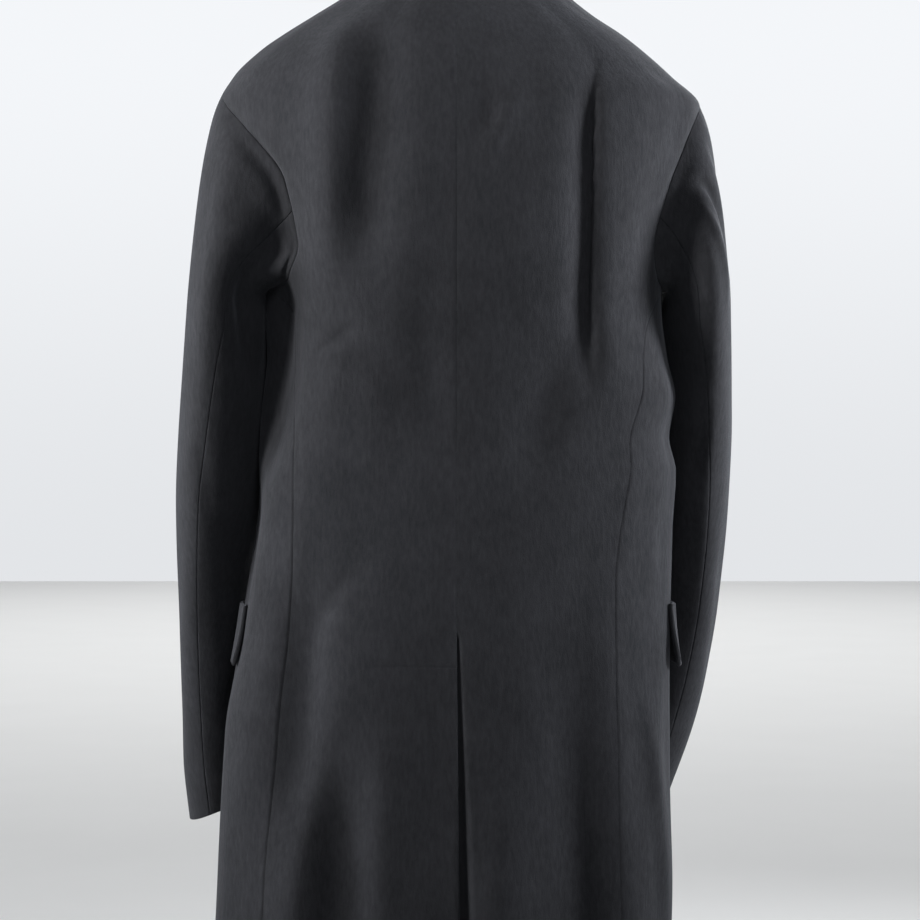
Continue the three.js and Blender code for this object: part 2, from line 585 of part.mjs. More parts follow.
const SLEEVE_ROWS = [0, 0.018, 0.05, 0.09, 0.135, 0.18, 0.225, ...spread(CAP_SHARE, 1, 11)];
const halfSleeveSeam = 0.32; // half a seam gap, in degrees

// One of a sleeve's two pieces: its columns run between the seams, through the armhole's own points.
function sleevePiece(side, shape, name, under) {
  const nearest = (turn) =>
    shape.hole.reduce((best, spot, i) => {
      return Math.abs(spot.turn - turn) < Math.abs(shape.hole[best].turn - turn) ? i : best;
    }, 0);
  const first = seamRow(0);
  const [fore, hind] = [nearest(first.fore), nearest(first.hind)];
  const turns = shape.hole.map((spot) => spot.turn);
  const own = under
    ? [...turns.slice(hind), ...turns.slice(1, fore + 1).map((turn) => turn + 360)]
    : turns.slice(fore, hind + 1);
  const [from, to] = [own[0], own[own.length - 1]];
  const grid = [];
  const inner = [];
  for (const down of SLEEVE_ROWS) {
    const seams = seamRow(down);
    const start = (under ? seams.hind : seams.fore) + halfSleeveSeam;
    const end = (under ? seams.fore + 360 : seams.hind) - halfSleeveSeam;
    const shift = share(0, 0.05, down);
    const places = own.map((turn, k) => {
      const slid = mix(start, end, (turn - from) / (to - from));
      const kept = turn + (k === 0 ? halfSleeveSeam : 0) - (k === own.length - 1 ? halfSleeveSeam : 0);
      return mix(kept, slid, shift);
    });
    const points = places.map((turn) => shape.folded(turn, down));
    grid.push(points);
    inner.push(
      places.map((turn, k) => {
        const away = down === 0 ? shape.spotAt(((turn + 540) % 360) - 180).normal : shape.normal(turn, down);
        return points[k].clone().addScaledVector(away, -CLOTH);
      }),
    );
  }
  return wall(name, wool, grid, inner);
}

// ---- Collar -----------------------------------------------------------------------------------------

const collarRow = reader(COLLAR, "along");

// The neck seam from the centre back round to the gorge: the foot of the collar and its directions.
function neckSeam(side, along) {
  if (along <= COLLAR_SIDE) {
    const turn = side.sign * ownTurn(side, side.sign * leadingX(0), 0) * (along / COLLAR_SIDE);
    const foot = bodyPoint(turn, bent(0, turn));
    const inward = vec(-foot.x, -foot.y, 0).normalize();
    foot.addScaledVector(inward, COLLAR_CLOTH - 0.6).add(vec(0, 0, 0.7));
    return { foot, up: inward.multiplyScalar(0.12).add(vec(0, 0, 1)).normalize() };
  }
  const t = share(COLLAR_SIDE, 1, along);
  const z = mix(0, GORGE_Z, t);
  const turn = side.sign * ownTurn(side, side.sign * leadingX(z), z);
  const foot = bodyPoint(turn, z);
  const across = vec(-side.sign, 0, 0.3).normalize();
  const up = bodyNormal(turn, z).multiplyScalar(mix(0.15, 1, t)).add(vec(0, 0, mix(1, 0.2, t))).normalize();
  return { foot: foot.addScaledVector(across, COLLAR_CLOTH + mix(0.4, 1, t)).add(vec(0, 0, mix(1, 0.4, t))), up };
}

// One row across the collar: up the stand, over the fold and down the fall.
function collarProfile(side, along) {
  const row = collarRow(along);
  const { foot, up } = neckSeam(side, along);
  const turn = side.sign * row.turn * DEG;
  const edge = bodyPoint(turn, row.z, COLLAR_CLOTH + 1.6 * SEAT_GAP);
  const out = edge.clone().sub(foot);
  out.addScaledVector(up, -out.dot(up)).normalize();
  const place = (rise, over) =>
    foot.clone().addScaledVector(up, row.stand * rise).addScaledVector(out, over);
  const fold = [place(0, 0), place(0.4, row.lean * 0.3), place(0.8, row.lean * 0.7), place(0.97, row.lean + 1.6)];
  const crest = place(1, row.lean + 4);
  const over = place(0.93, row.lean + 7.4);
  const handle = over.clone().addScaledVector(up, -0.35 * row.stand).addScaledVector(out, 2.5);
  const lay = edge.clone().addScaledVector(bodyNormal(turn, row.z), 2).lerp(over, 0.3);
  return [...fold, crest, ...spread(0, 1, 5).map((t) => curvePoint(over, handle, lay, edge, t))];
}

function collarPiece() {
  const half = spread(0, 1, 12);
  const rows = [
    ...half.slice(1).reverse().map((along) => collarProfile(SIDES[1], along)),
    ...half.map((along) => collarProfile(SIDES[0], along)),
  ];
  const last = rows.length - 1;
  const inner = rows.map((row, i) =>
    row.map((point, k) => {
      const alongWay = rows[Math.min(last, i + 1)][k].clone().sub(rows[Math.max(0, i - 1)][k]);
      const acrossWay = row[Math.min(row.length - 1, k + 1)].clone().sub(row[Math.max(0, k - 1)]);
      return point.clone().addScaledVector(acrossWay.cross(alongWay).normalize(), COLLAR_CLOTH);
    }),
  );
  return wall("collar", collarWool, rows, inner);
}

// ---- Lapels -----------------------------------------------------------------------------------------

const lapelRow = reader(LAPEL_EDGE, "up");

// A lapel lies on its front, from the roll line out. The right one starts where it comes out from under
// the edge of the left front.
function lapelPiece(side) {
  const lift = COLLAR_CLOTH + LAYER_GAP;
  const grid = [];
  const normals = [];
  for (const up of spread(side.sign > 0 ? 0.05 : 0.22, 1, 10)) {
    const edge = lapelRow(up);
    const rollZ = mix(BREAK_Z, GORGE_Z + 0.6, up);
    const places = spread(0, 1, 7).map((t) => {
      const notch = up ** 8 * NOTCH.rise * Math.min(t / NOTCH.at, (1 - t) / (1 - NOTCH.at));
      const z = mix(rollZ, edge.z, t) + notch;
      const x = mix(leadingX(rollZ), edge.x, t);
      return side.sign > 0 ? [x, z] : [Math.min(-x, leadingX(z) - 1.5 - t * 0.01), z];
    });
    grid.push(places.map(([x, z]) => bodyPoint(side.sign * ownTurn(side, x, z), z, lift)));
    normals.push(places.map(([x, z]) => bodyNormal(side.sign * ownTurn(side, x, z), z)));
  }
  return panel(`lapel_${side.name}`, collarWool, grid, normals, COLLAR_CLOTH);
}

// ---- Pocket flaps -----------------------------------------------------------------------------------

function flapPiece(side) {
  const flap = FLAPS[side.name];
  const grid = [];
  const normals = [];
  for (const down of spread(0, 1, 4)) {
    const row = spread(0, 1, 12).map((t) => {
      const turn = side.sign * mix(flap.rear, flap.front, t) * DEG;
      const corner = share(0.9, 1, Math.abs(2 * t - 1)) ** 2;
      const z = flap.top - flap.height * down * (1 - 0.16 * corner);
      const stand = mix(flap.rearLift, flap.frontLift, t ** 0.6) * down ** 1.4;
      return { point: bodyPoint(turn, z, FLAP_CLOTH + SEAT_GAP + stand), normal: bodyNormal(turn, z) };
    });
    grid.push(row.map((spot) => spot.point));
    normals.push(row.map((spot) => spot.normal));
  }
  return panel(`flap_${side.name}`, wool, grid, normals, FLAP_CLOTH);
}

// ---- Buttons ----------------------------------------------------------------------------------------

// A flat button with a raised, rounded rim, turned about its own axis.
function button(name, z) {
  const { radius, thickness, stand } = BUTTON;
  const profile = [
    [0, 0], [radius - 2.5, 0], [radius, 1.6], [radius, thickness - 1.4], [radius - 1.6, thickness],
    [radius - 3.2, thickness - 0.2], [radius - 5, thickness - 1.4], [0, thickness - 1.6],
  ].map(([r, h]) => new THREE.Vector2(r, h));
  const geometry = new THREE.LatheGeometry(profile, 24);
  const normal = bodyNormal(Math.PI, z);
  const foot = bodyPoint(Math.PI, z, stand);
  const mesh = new THREE.Mesh(geometry, horn);
  mesh.quaternion.setFromUnitVectors(vec(0, 1, 0), normal);
  mesh.position.copy(foot);
  mesh.name = name;
  return mesh;
}

// ---- Put together -----------------------------------------------------------------------------------

const coat = new THREE.Group();
for (const side of SIDES) {
  const shape = sleeve(side);
  coat.add(backPiece(side), frontPiece(side));
  coat.add(sleevePiece(side, shape, `top_sleeve_${side.name}`, false));
  coat.add(sleevePiece(side, shape, `under_sleeve_${side.name}`, true));
  coat.add(lapelPiece(side), flapPiece(side));
}
coat.add(collarPiece());
BUTTON.heights.forEach((z, i) => coat.add(button(`button_${i + 1}`, z)));

export default coat;
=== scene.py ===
import bpy
import numpy as np
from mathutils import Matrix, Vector


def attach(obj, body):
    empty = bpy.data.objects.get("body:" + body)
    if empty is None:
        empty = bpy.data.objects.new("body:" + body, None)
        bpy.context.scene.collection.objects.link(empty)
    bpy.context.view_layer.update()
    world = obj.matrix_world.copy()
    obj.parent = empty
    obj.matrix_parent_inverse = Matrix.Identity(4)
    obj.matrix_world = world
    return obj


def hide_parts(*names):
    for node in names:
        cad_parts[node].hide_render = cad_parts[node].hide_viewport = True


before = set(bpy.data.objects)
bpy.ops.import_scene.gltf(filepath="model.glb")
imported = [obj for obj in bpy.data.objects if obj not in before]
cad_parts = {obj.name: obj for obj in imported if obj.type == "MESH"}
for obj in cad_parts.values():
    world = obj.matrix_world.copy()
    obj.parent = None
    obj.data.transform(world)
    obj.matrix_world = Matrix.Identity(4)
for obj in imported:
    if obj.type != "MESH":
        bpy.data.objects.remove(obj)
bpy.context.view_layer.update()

# ---- The two backs ----------------------------------------------------------------------------------
# Panels of heavy black melton, cut in one length from the shoulder seam to the hem. They are sewn
# together down the centre back, then part at the vent, where the left one lies over the right one.

MM = 0.001
CLOTH = 3.0
SEAM_LAP = 0.1  # how far each of two sewn edges passes the seam line, so that no light gets through
LAP_RADIUS = 105  # about how far the seams lie from the middle, to turn the lap into an angle
HEM_Z = -1010
ARMPIT_Z = -285
SHOULDER_TIP_Z = {"left": -108, "right": -119}
SIGN = {"left": 1, "right": -1}
NECK_DIP = 20
NECK_BLEND_Z = -95
VENT_TOP_Z = -584

# The vent: how wide beside its edge and how deep the right back is sunk, at the top and the hem, how far
# it runs under the left back, how far the edge drifts, and how far down it sinks and spreads.
VENT = {
    "wide_top": 1.2, "wide_hem": 18.5, "deep_top": 4.4, "deep_hem": 15, "under": 36, "drift": 3.5,
    "sinks": 6, "spreads_from": 2, "spreads_to": 32,
}

# The row of stitches that holds the vent's facing: its height, where it ends, how deep and how wide it
# draws the cloth in, and the rows of points laid across it.
TACK = {"z": -611.5, "x": 74, "deep": 0.35, "wide": 0.8, "rows": (-1.6, -0.7, 0, 0.7, 1.6)}

# The columns of a panel are even up to a bend, in degrees, and then close up to the edge.
BACK_BEND = 44
BACK_BEND_GAP = 3  # the least that the bend keeps from the edge
FRONT_BEND = 128
FRONT_BEND_SHARE = 0.45  # the most of the front's width that the bend is from its seam
SIDE_RADIUS = {"left": 0.12, "right": 0.3}  # the rounding at the side-back seams and armholes


def table(columns, *rows):
    """A short table as named columns, its rows put in rising order of the first one."""
    return dict(zip(columns.split(), np.array(sorted(rows), float).T))


BODY_RINGS = table(
    "z left right back front mid boxy_back boxy_front",
    (0, 78, 78, 52, 60, 0, 2, 2),
    (-22, 103, 101, 62, 72, 0, 2, 2),
    (-40, 131, 123, 76, 82, 0, 2, 2),
    (-58, 160, 150, 87, 90, 0, 2, 2),
    (-72, 180, 168, 94, 96, 0, 2, 2),
    (-95, 203, 194, 103, 105, 0, 2, 2),
    (-120, 215, 218, 109, 113, 0, 2.05, 2.05),
    (-160, 201, 209, 116, 122, 0, 2.12, 2.1),
    (-200, 185, 199, 119, 129, 1, 2.2, 2.1),
    (-250, 171, 186, 118, 133, 4, 2.25, 2.1),
    (-300, 167, 183, 112, 133, 8, 2.25, 2.1),
    (-345, 169, 188, 106, 131, 11, 2.25, 2.1),
    (-380, 173, 195, 103, 130, 14, 2.25, 2.1),
    (-417, 177, 189.5, 102, 130, 15, 2.25, 2.1),
    (-446, 181, 195, 103, 130, 15, 2.25, 2.1),
    (-500, 187, 191, 107, 132, 15, 2.25, 2.1),
    (-580, 199, 189, 117, 136, 13, 2.25, 2.1),
    (-660, 208, 189, 124, 139, 12, 2.25, 2.15),
    (-760, 213, 187, 129, 143, 10, 2.25, 2.2),
    (-880, 217, 187, 133, 147, 8, 2.25, 2.2),
    (-1010, 221, 191, 137, 151, 6, 2.25, 2.2),
)

# The edges of the armholes, in degrees round from the centre back, from the shoulder tip (along 0) down
# to the underarm (along 1), and the side-back seams below them.
ARMHOLE = table(
    "along left_back right_back front",
    (0, 90, 90, 90),
    (0.15, 74, 80, 101),
    (0.3, 62, 73, 111),
    (0.5, 54, 66.5, 118),
    (0.7, 54, 65, 121),
    (0.85, 62, 68, 111),
    (1, 80, 80, 80),
)
SIDE_SEAM = table(
    "z left right",
    (ARMPIT_Z, 80, 80),
    (-300, 69, 67),
    (-325, 61, 58.5),
    (-360, 56, 54),
    (-430, 50, 48.5),
    (-475, 47.5, 46),
    (-545, 45.5, 43.5),
    (-760, 47, 45),
    (HEM_Z, 50, 47),
)

# The folds of the body. Each is a soft trough or ridge along a curve through three places, at across on
# the back or the front, or front to back on a side. plus and minus are its half widths to either side,
# high its height, grow and fade the shares of its length over which it comes and goes.
FOLDS = table(
    "face x0 z0 x1 z1 x2 z2 plus minus high grow fade",
    (1, 97, -34, 104, -150, 108, -310, 22, 14, 9, 0.3, 0.4),
    (1, 58, -44, 70, -150, 77, -300, 15, 24, -8, 0.3, 0.4),
    (1, -118, -66, -119, -230, -113, -400, 22, 6, -9, 0.3, 0.3),
    (1, -136, -84, -137, -230, -131, -390, 9, 26, 3, 0.3, 0.15),
    (1, -92, -310, -78, -390, -62, -490, 22, 16, -6.5, 0.4, 0.5),
    (1, 128, -500, 134, -640, 142, -800, 28, 18, -13, 0.35, 0.4),
    (1, 96, -620, 100, -800, 102, -1060, 22, 26, -13, 0.35, 0.1),
    (1, 128, -640, 132, -820, 134, -1060, 14, 16, 7, 0.35, 0.1),
    (1, -102, -540, -106, -740, -110, -1060, 34, 20, -13, 0.35, 0.1),
    (1, -46, -680, -44, -840, -42, -1060, 26, 22, 6, 0.35, 0.1),
    (1, -160, -610, -175, -740, -187, -900, 6, 9, 5, 0.4, 0.4),
    (1, -57, -110, -40, -150, -21, -190, 9, 9, 3.2, 0.4, 0.4),
    (1, -20, -100, -27, -136, -36, -170, 9, 9, -1.6, 0.4, 0.4),
    (1, -52, -150, -42, -175, -31, -204, 7, 7, -1, 0.4, 0.4),
    (1, 90, -318, 106, -336, 126, -350, 7, 7, -1.8, 0.4, 0.4),
    (1, 91, -526, 108, -556, 126, -590, 10, 10, -3, 0.4, 0.4),
    (1, 146, -690, 148, -800, 150, -1010, 18, 14, 5, 0.4, 0.1),
    (1, -26, -680, -30, -820, -34, -1010, 22, 18, 4.5, 0.4, 0.1),
    (1, -138, -640, -142, -800, -138, -1010, 18, 18, 5.5, 0.4, 0.1),
    (1, 30, -300, 22, -380, 8, -450, 20, 20, -1.6, 0.4, 0.4),
    (1, 60, -600, 66, -760, 66, -1010, 16, 20, 4, 0.4, 0.1),
    (-1, 96, -300, 104, -420, 96, -540, 16, 16, -6, 0.4, 0.4),
    (-1, -100, -280, -108, -400, -98, -520, 16, 16, -6, 0.4, 0.4),
    (-1, 104, -650, 110, -840, 112, -1060, 22, 22, -10, 0.4, 0.1),
    (-1, -96, -660, -100, -840, -108, -1060, 20, 20, -9, 0.4, 0.1),
    (-1, 60, -340, 84, -400, 116, -440, 9, 9, -2.6, 0.4, 0.4),
    (-1, -52, -352, -80, -404, -118, -452, 9, 9, -2.6, 0.4, 0.4),
    (-1, 56, -180, 92, -230, 132, -262, 10, 10, -2.4, 0.4, 0.4),
    (-1, -60, -176, -96, -222, -136, -266, 10, 10, -2.4, 0.4, 0.4),
    (-1, 50, -690, 56, -850, 60, -1010, 14, 18, 3, 0.4, 0.1),
    (-1, -44, -700, -52, -850, -58, -1010, 18, 14, 3, 0.4, 0.1),
    (2, 54, -250, 52, -350, 54, -470, 19, 18, -14, 0.25, 0.35),
    (2, 24, -400, 22, -520, 26, -680, 34, 32, -11, 0.35, 0.35),
    (2, 10, -268, 10, -300, 10, -350, 30, 30, 2.5, 0.3, 0.4),
    (2, -46, -620, -42, -800, -50, -1050, 18, 18, -6, 0.4, 0.1),
    (2, 30, -560, 24, -700, 16, -900, 14, 14, -3, 0.4, 0.4),
    (-2, -48, -650, -40, -820, -46, -1050, 18, 18, -6, 0.4, 0.1),
    (-2, 22, -620, 26, -780, 22, -980, 14, 14, 3, 0.4, 0.3),
)

# Along the outer side of the long tuck beside the right armhole the cloth laps over it: how far it
# slides, and where across it starts, is fullest and ends.
TUCK = {
    "x0": -118, "z0": -66, "x1": -119, "z1": -230, "x2": -113, "z2": -392,
    "slide": 6.5, "near": -0.5, "lip": -6, "far": -34, "grow": 0.35, "fade": 0.35,
}

# Where a sleeve hangs from its armhole, the body's cloth rolls in towards the seam: how deep and how
# wide, along each edge of the armhole.
ARMHOLE_ROLL = {
    "left_back": {"deep": 9, "wide": 6},
    "right_back": {"deep": 1.5, "wide": 6},
    "left_front": {"deep": 3, "wide": 8},
    "right_front": {"deep": 3, "wide": 8},
}
ROLL_ENDS = {"start": 35, "full": 85, "foot": 40}  # below the shoulder tip, and above the underarm
BODY_RADIUS = 150  # about how far the armhole lies from the middle, to turn angles into lengths

# Long faint waves that keep the cloth from lying dead even.
WAVES = table(
    "across down phase high",
    (7.3, 0.011, 0.4, 0.55),
    (11.9, 0.017, 2.1, 0.4),
    (17.1, 0.006, 4.4, 0.3),
    (4.1, 0.023, 1.3, 0.5),
    (23.7, 0.029, 3.6, 0.16),
    (31.3, -0.021, 5.2, 0.12),
)


def share(start, stop, t):
    """How far t has come from start to stop, held between 0 and 1."""
    return np.clip((t - start) / (stop - start), 0, 1)


def soft(start, stop, t):
    """The same share eased in and out: three times its square less twice its cube."""
    return share(start, stop, t) ** 2 * (3 - 2 * share(start, stop, t))


def mix(a, b, t):
    """From a to b in a straight line, by the share t."""
    return a + (b - a) * t


def unit(vectors):
    """Vectors divided by their own length."""
    return vectors / np.maximum(np.linalg.norm(vectors, axis=-1, keepdims=True), 1e-9)


def read(rows, at):
    """Each column of a table at any value of its first one: a curve through the rows whose slope at a
    row is the harmonic mean of those on both sides, so that it never overshoots."""
    first, *names = rows
    x = rows[first]
    t = np.clip(at, x[0], x[-1])
    i = np.clip(np.searchsorted(x, t, side="right") - 1, 0, len(x) - 2)
    step = x[i + 1] - x[i]
    u = (t - x[i]) / step
    v = 1 - u
    out = {}
    for name in names:
        y = rows[name]
        rise = np.diff(y) / np.diff(x)
        product, total = rise[:-1] * rise[1:], rise[:-1] + rise[1:]
        inner = np.where(product > 0, 2 * product / np.where(total == 0, 1, total), 0)
        slope = np.concatenate([rise[:1], inner, rise[-1:]])
        curve = y[i] * (1 + 2 * u) * v * v + y[i + 1] * (1 + 2 * v) * u * u
        out[name] = curve + (slope[i] * v - slope[i + 1] * u) * step * u * v
    return out


def fold_place(p, q, fold):
    """Where (p, q) lies from a fold: its distance across from the curve, a parabola that gives p by q,
    and its share of the way along."""
    q0, q1, q2 = fold["z0"], fold["z1"], fold["z2"]
    t = np.clip(q, min(q0, q2), max(q0, q2))
    parts = [
        (fold["x0"], q0, q1, q2),
        (fold["x1"], q1, q0, q2),
        (fold["x2"], q2, q0, q1),
    ]
    path = sum(p0 * (t - a) * (t - b) / ((own - a) * (own - b)) for p0, own, a, b in parts)
    slope = sum(p0 * (2 * t - a - b) / ((own - a) * (own - b)) for p0, own, a, b in parts)
    return (p - path) / np.sqrt(1 + slope**2), (q0 - q) / (q0 - q2)


def fold_lift(p, q, fold):
    """How far one fold lifts the place (p, q): across its curve the lift falls off as a bell whose two
    halves have their own widths."""
    gap, along = fold_place(p, q, fold)
    wide = np.where(gap > 0, fold["plus"], fold["minus"])
    ends = soft(0, fold["grow"], along) * soft(0, fold["fade"], 1 - along)
    return fold["high"] * np.exp(-((gap / wide) ** 2)) * ends


def ring_point(turn, z):
    """The smooth body at a turn round from the centre back, in radians, and a height: each quarter of
    its ring is a superellipse between the half width and the half depth."""
    ring = read(BODY_RINGS, z)
    s, c = np.sin(turn), np.cos(turn)
    n = np.where(c >= 0, ring["boxy_back"], ring["boxy_front"])
    reach = (np.abs(s) ** n + np.abs(c) ** n) ** (-1 / n)
    width = np.where(s >= 0, ring["left"], ring["right"])
    depth = np.where(c >= 0, ring["back"] - ring["mid"], ring["front"] + ring["mid"])
    return np.stack([width * reach * s, ring["mid"] + depth * reach * c, z + 0 * turn], -1)


def normal_of(surface, u, v, du, dv):
    """The unit normal of a surface at (u, v): the cross product of two small steps along it."""
    across = surface(u + du, v) - surface(u - du, v)
    down = surface(u, v + dv) - surface(u, v - dv)
    return unit(np.cross(across, down))


def armhole_roll(turn, z):
    """How far the cloth is drawn in beside the armholes: a bell across the seam's edge, fading out at
    the shoulder tip and under the arm."""
    drawn = 0 * turn
    for side, sign in SIGN.items():
        tip = SHOULDER_TIP_Z[side]
        own = sign * turn
        window = soft(tip - ROLL_ENDS["start"], tip - ROLL_ENDS["full"], z)
        window = window * soft(ARMPIT_Z, ARMPIT_Z + ROLL_ENDS["foot"], z) * (own > 0)
        for face in ("back", "front"):
            roll = ARMHOLE_ROLL[f"{side}_{face}"]
            edge = side_edge(side, z, f"{side}_back" if face == "back" else "front")
            gap = BODY_RADIUS * (own - edge) / roll["wide"]
            drawn -= roll["deep"] * np.exp(-(gap**2)) * window
    return drawn


def body_relief(turn, z):
    """How far the folds, waves and armholes lift the body's cloth off its smooth ring."""
    x, y, _ = np.moveaxis(ring_point(turn, z), -1, 0)
    across, facing = np.sin(turn), np.cos(turn)
    lift = 0 * x
    for i in range(len(FOLDS["face"])):
        fold = {name: column[i] for name, column in FOLDS.items()}
        face = fold["face"]
        if abs(face) == 1:
            lift += fold_lift(x, z, fold) * soft(0, 0.3, face * facing)
        else:
            lift += fold_lift(y, z, fold) * soft(0, 0.3, face / 2 * across)
    for across, down, phase, high in zip(*WAVES.values()):
        lift += high * np.sin(across * turn + down * z + phase)
    return lift + armhole_roll(turn, z)


def tuck_slide(turn, z):
    """How far the cloth on the outer side of the tuck slides over it: all the way at its lip, and less
    and less beyond."""
    gap, along = fold_place(ring_point(turn, z)[..., 0], z, TUCK)
    lip = soft(TUCK["near"], TUCK["lip"], gap) * soft(TUCK["far"], TUCK["lip"], gap)
    ends = soft(0, TUCK["grow"], along) * soft(0, TUCK["fade"], 1 - along)
    return TUCK["slide"] * lip * ends * (np.cos(turn) > 0)


def body_point(turn, z, lift=0):
    """The body's outer face with its folds. lift raises a layer that lies on it, or sinks one beneath."""
    turn, z = np.broadcast_arrays(np.asarray(turn, float), np.asarray(z, float))
    normal = normal_of(ring_point, turn, z, 0.01, -1)
    slid = turn + tuck_slide(turn, z) / BODY_RADIUS
    return ring_point(slid, z) + normal * (body_relief(turn, z) + lift)[..., None]


def body_normal(turn, z):
    """The unit normal of the body's outer face with its folds."""
    return normal_of(body_point, turn, z, 0.01, -1)


def turn_at(x, z, boxy):
    """The turn, up to a quarter, at which a ring has this x."""
    ring = read(BODY_RINGS, z)
    width = np.where(x >= 0, ring["left"], ring["right"])
    part = np.minimum(0.999, np.abs(x) / width) ** ring[boxy]
    return np.sign(x) * np.arctan((part / (1 - part)) ** (1 / ring[boxy]))


def bent(z, turn):
    """Rows above the blend follow the neck seam, which dips towards the centre back."""
    return z - NECK_DIP * np.maximum(0, np.cos(turn)) ** 1.5 * share(NECK_BLEND_Z, 0, z)


def side_edge(side, z, edge):
    """The turn of the edge between a side's back and its front, with the armhole between them."""
    tip = SHOULDER_TIP_Z[side]
    along = np.arccos(1 - 2 * share(tip, ARMPIT_Z, z)) / np.pi
    armhole = read(ARMHOLE, along)[edge]
    seam = read(SIDE_SEAM, z)[side]
    return np.radians(np.where(z >= tip, 90, np.where(z <= ARMPIT_Z, seam, armhole)))


def body_rows(side, extra=()):
    """The heights of a body panel's rows, from the hem to the neck, closer at both ends of the armhole.
    """
    tip = SHOULDER_TIP_Z[side]
    armhole = mix(tip, ARMPIT_Z, (1 - np.cos(np.linspace(np.pi, 0, 86))) / 2)
    below = np.linspace(HEM_Z, ARMPIT_Z, 236)[:-1]
    return np.unique(np.concatenate([below, armhole, np.linspace(tip, 0, 60), extra]))


def vent_down(z):
    """The share of the way from the vent's top to the hem."""
    return share(VENT_TOP_Z, HEM_Z, z)


def vent_edge(z):
    """x of the left back's edge, which drifts evenly to the right on its way down."""
    return -VENT["drift"] * vent_down(z)


def vent_wide(z):
    """How wide the sunk strip beside that edge is: it widens evenly on its way down."""
    return mix(VENT["wide_top"], VENT["wide_hem"], vent_down(z))


def vent_lift(turn, z):
    """How far the right back is sunk beside and beneath the edge of the left back."""
    deep = mix(VENT["deep_top"], VENT["deep_hem"], vent_down(z))
    deep = deep * share(VENT_TOP_Z, VENT_TOP_Z - VENT["sinks"], z) * (np.cos(turn) > 0)
    edge = -vent_wide(z)
    return -deep * soft(edge - 1, 0.5 * edge, ring_point(turn, z)[..., 0] - vent_edge(z))


def back_grid(side, z):
    """The turns of a back's columns, a row for each height: even to 44 degrees, then closing up to the
    edge."""
    end = side_edge(side, z, side + "_back") + SEAM_LAP / LAP_RADIUS
    bend = np.minimum(np.radians(BACK_BEND), end - np.radians(BACK_BEND_GAP))
    outer = mix(bend[:, None], end[:, None], np.linspace(0, 1, 31)[1:])
    if side == "left":
        x = np.where(z > VENT_TOP_Z, -SEAM_LAP, vent_edge(z))
        start = turn_at(x, z, "boxy_back")
        return np.hstack([mix(start[:, None], bend[:, None], np.linspace(0, 1, 37)), outer])
    opened = soft(VENT_TOP_Z - VENT["spreads_from"], VENT_TOP_Z - VENT["spreads_to"], z)
    wide = np.where(z > VENT_TOP_Z, VENT["wide_top"], vent_wide(z))
    shift = np.where(z > VENT_TOP_Z, 0, vent_edge(z))
    start_x = mix(-SEAM_LAP, -VENT["under"] - shift, opened)
    x = mix(start_x[:, None], (wide + 1 - shift)[:, None], np.linspace(0, 1, 20))
    inner = -turn_at(-x, z[:, None], "boxy_back")
    spread = mix(inner[:, -1:], bend[:, None], np.linspace(0, 1, 33)[1:])
    return np.hstack([inner, spread, outer])


def rounded(grid, normals, radius):
    """A grid with four rows or columns more at each edge, within radius of it, and the share of the
    thickness lost there: the cosines and sines of a quarter circle."""
    angles = np.radians([0, 22.5, 45, 67.5, 90])
    inset, lost = 1 - np.cos(angles), 1 - np.sin(angles)
    sunk = np.zeros(grid.shape[:2])
    for axis, ends in ((0, radius[:2]), (1, radius[2:])):
        for end, r in enumerate(ends):
            if axis:
                grid, normals, sunk = (np.swapaxes(a, 0, 1) for a in (grid, normals, sunk))
            if end:
                grid, normals, sunk = grid[::-1], normals[::-1], sunk[::-1]
            step = np.linalg.norm(grid[1] - grid[0], axis=-1)
            part = np.minimum(r / np.maximum(step, 1e-6), 0.8)[None] * inset[:, None]
            cut = part[..., None]
            grid = np.concatenate([mix(grid[:1], grid[1:2], cut), grid[1:]])
            normals = np.concatenate([unit(mix(normals[:1], normals[1:2], cut)), normals[1:]])
            edge = np.maximum(mix(sunk[:1], sunk[1:2], part), lost[:, None])
            sunk = np.concatenate([edge, sunk[1:]])
            if end:
                grid, normals, sunk = grid[::-1], normals[::-1], sunk[::-1]
            if axis:
                grid, normals, sunk = (np.swapaxes(a, 0, 1) for a in (grid, normals, sunk))
    return grid, normals, sunk


def wall(name, grid, normals, thickness, radius):
    """A closed wall of cloth with rounded edges: the grid is its outer face, a second one lies the
    thickness beneath, and both come together halfway at the rim. radius is that of the first row's
    edge, the last row's, the first column's and the last column's."""
    grid, normals, sunk = rounded(grid, normals, radius)
    rows, columns = sunk.shape
    half = sunk[..., None] * thickness / 2
    outer, inner = grid - normals * half, grid - normals * (thickness - half)
    top = np.arange(rows * columns).reshape(rows, columns)
    under = top.copy()
    core = (rows - 2) * (columns - 2)
    under[1:-1, 1:-1] = rows * columns + np.arange(core).reshape(rows - 2, columns - 2)
    points = np.concatenate([outer.reshape(-1, 3), inner[1:-1, 1:-1].reshape(-1, 3)]) * MM

    def quads(ids):
        corners = [ids[:-1, :-1], ids[:-1, 1:], ids[1:, 1:], ids[1:, :-1]]
        return np.stack(corners, -1).reshape(-1, 4)

    i, j = rows // 2, columns // 2
    facing = np.dot(
        np.cross(grid[i, j + 1] - grid[i, j], grid[i + 1, j] - grid[i, j]), normals[i, j]
    )
    front, back = quads(top), quads(under)[:, ::-1]
    faces = np.concatenate([front, back])
    if facing < 0:
        faces = faces[:, ::-1]
    mesh = bpy.data.meshes.new(name)
    mesh.from_pydata(points, [], faces)
    mesh.polygons.foreach_set("use_smooth", np.ones(len(faces), bool))
    mesh.update()
    piece = bpy.data.objects.new(name, mesh)
    bpy.context.collection.objects.link(piece)
    return piece


def grid_normals(grid, like):
    """The unit normals of a grid, from the steps between its points, on the same side as like."""
    normals = unit(np.cross(np.gradient(grid, axis=1), np.gradient(grid, axis=0)))
    return normals * np.sign(np.sum(normals * like, -1, keepdims=True))


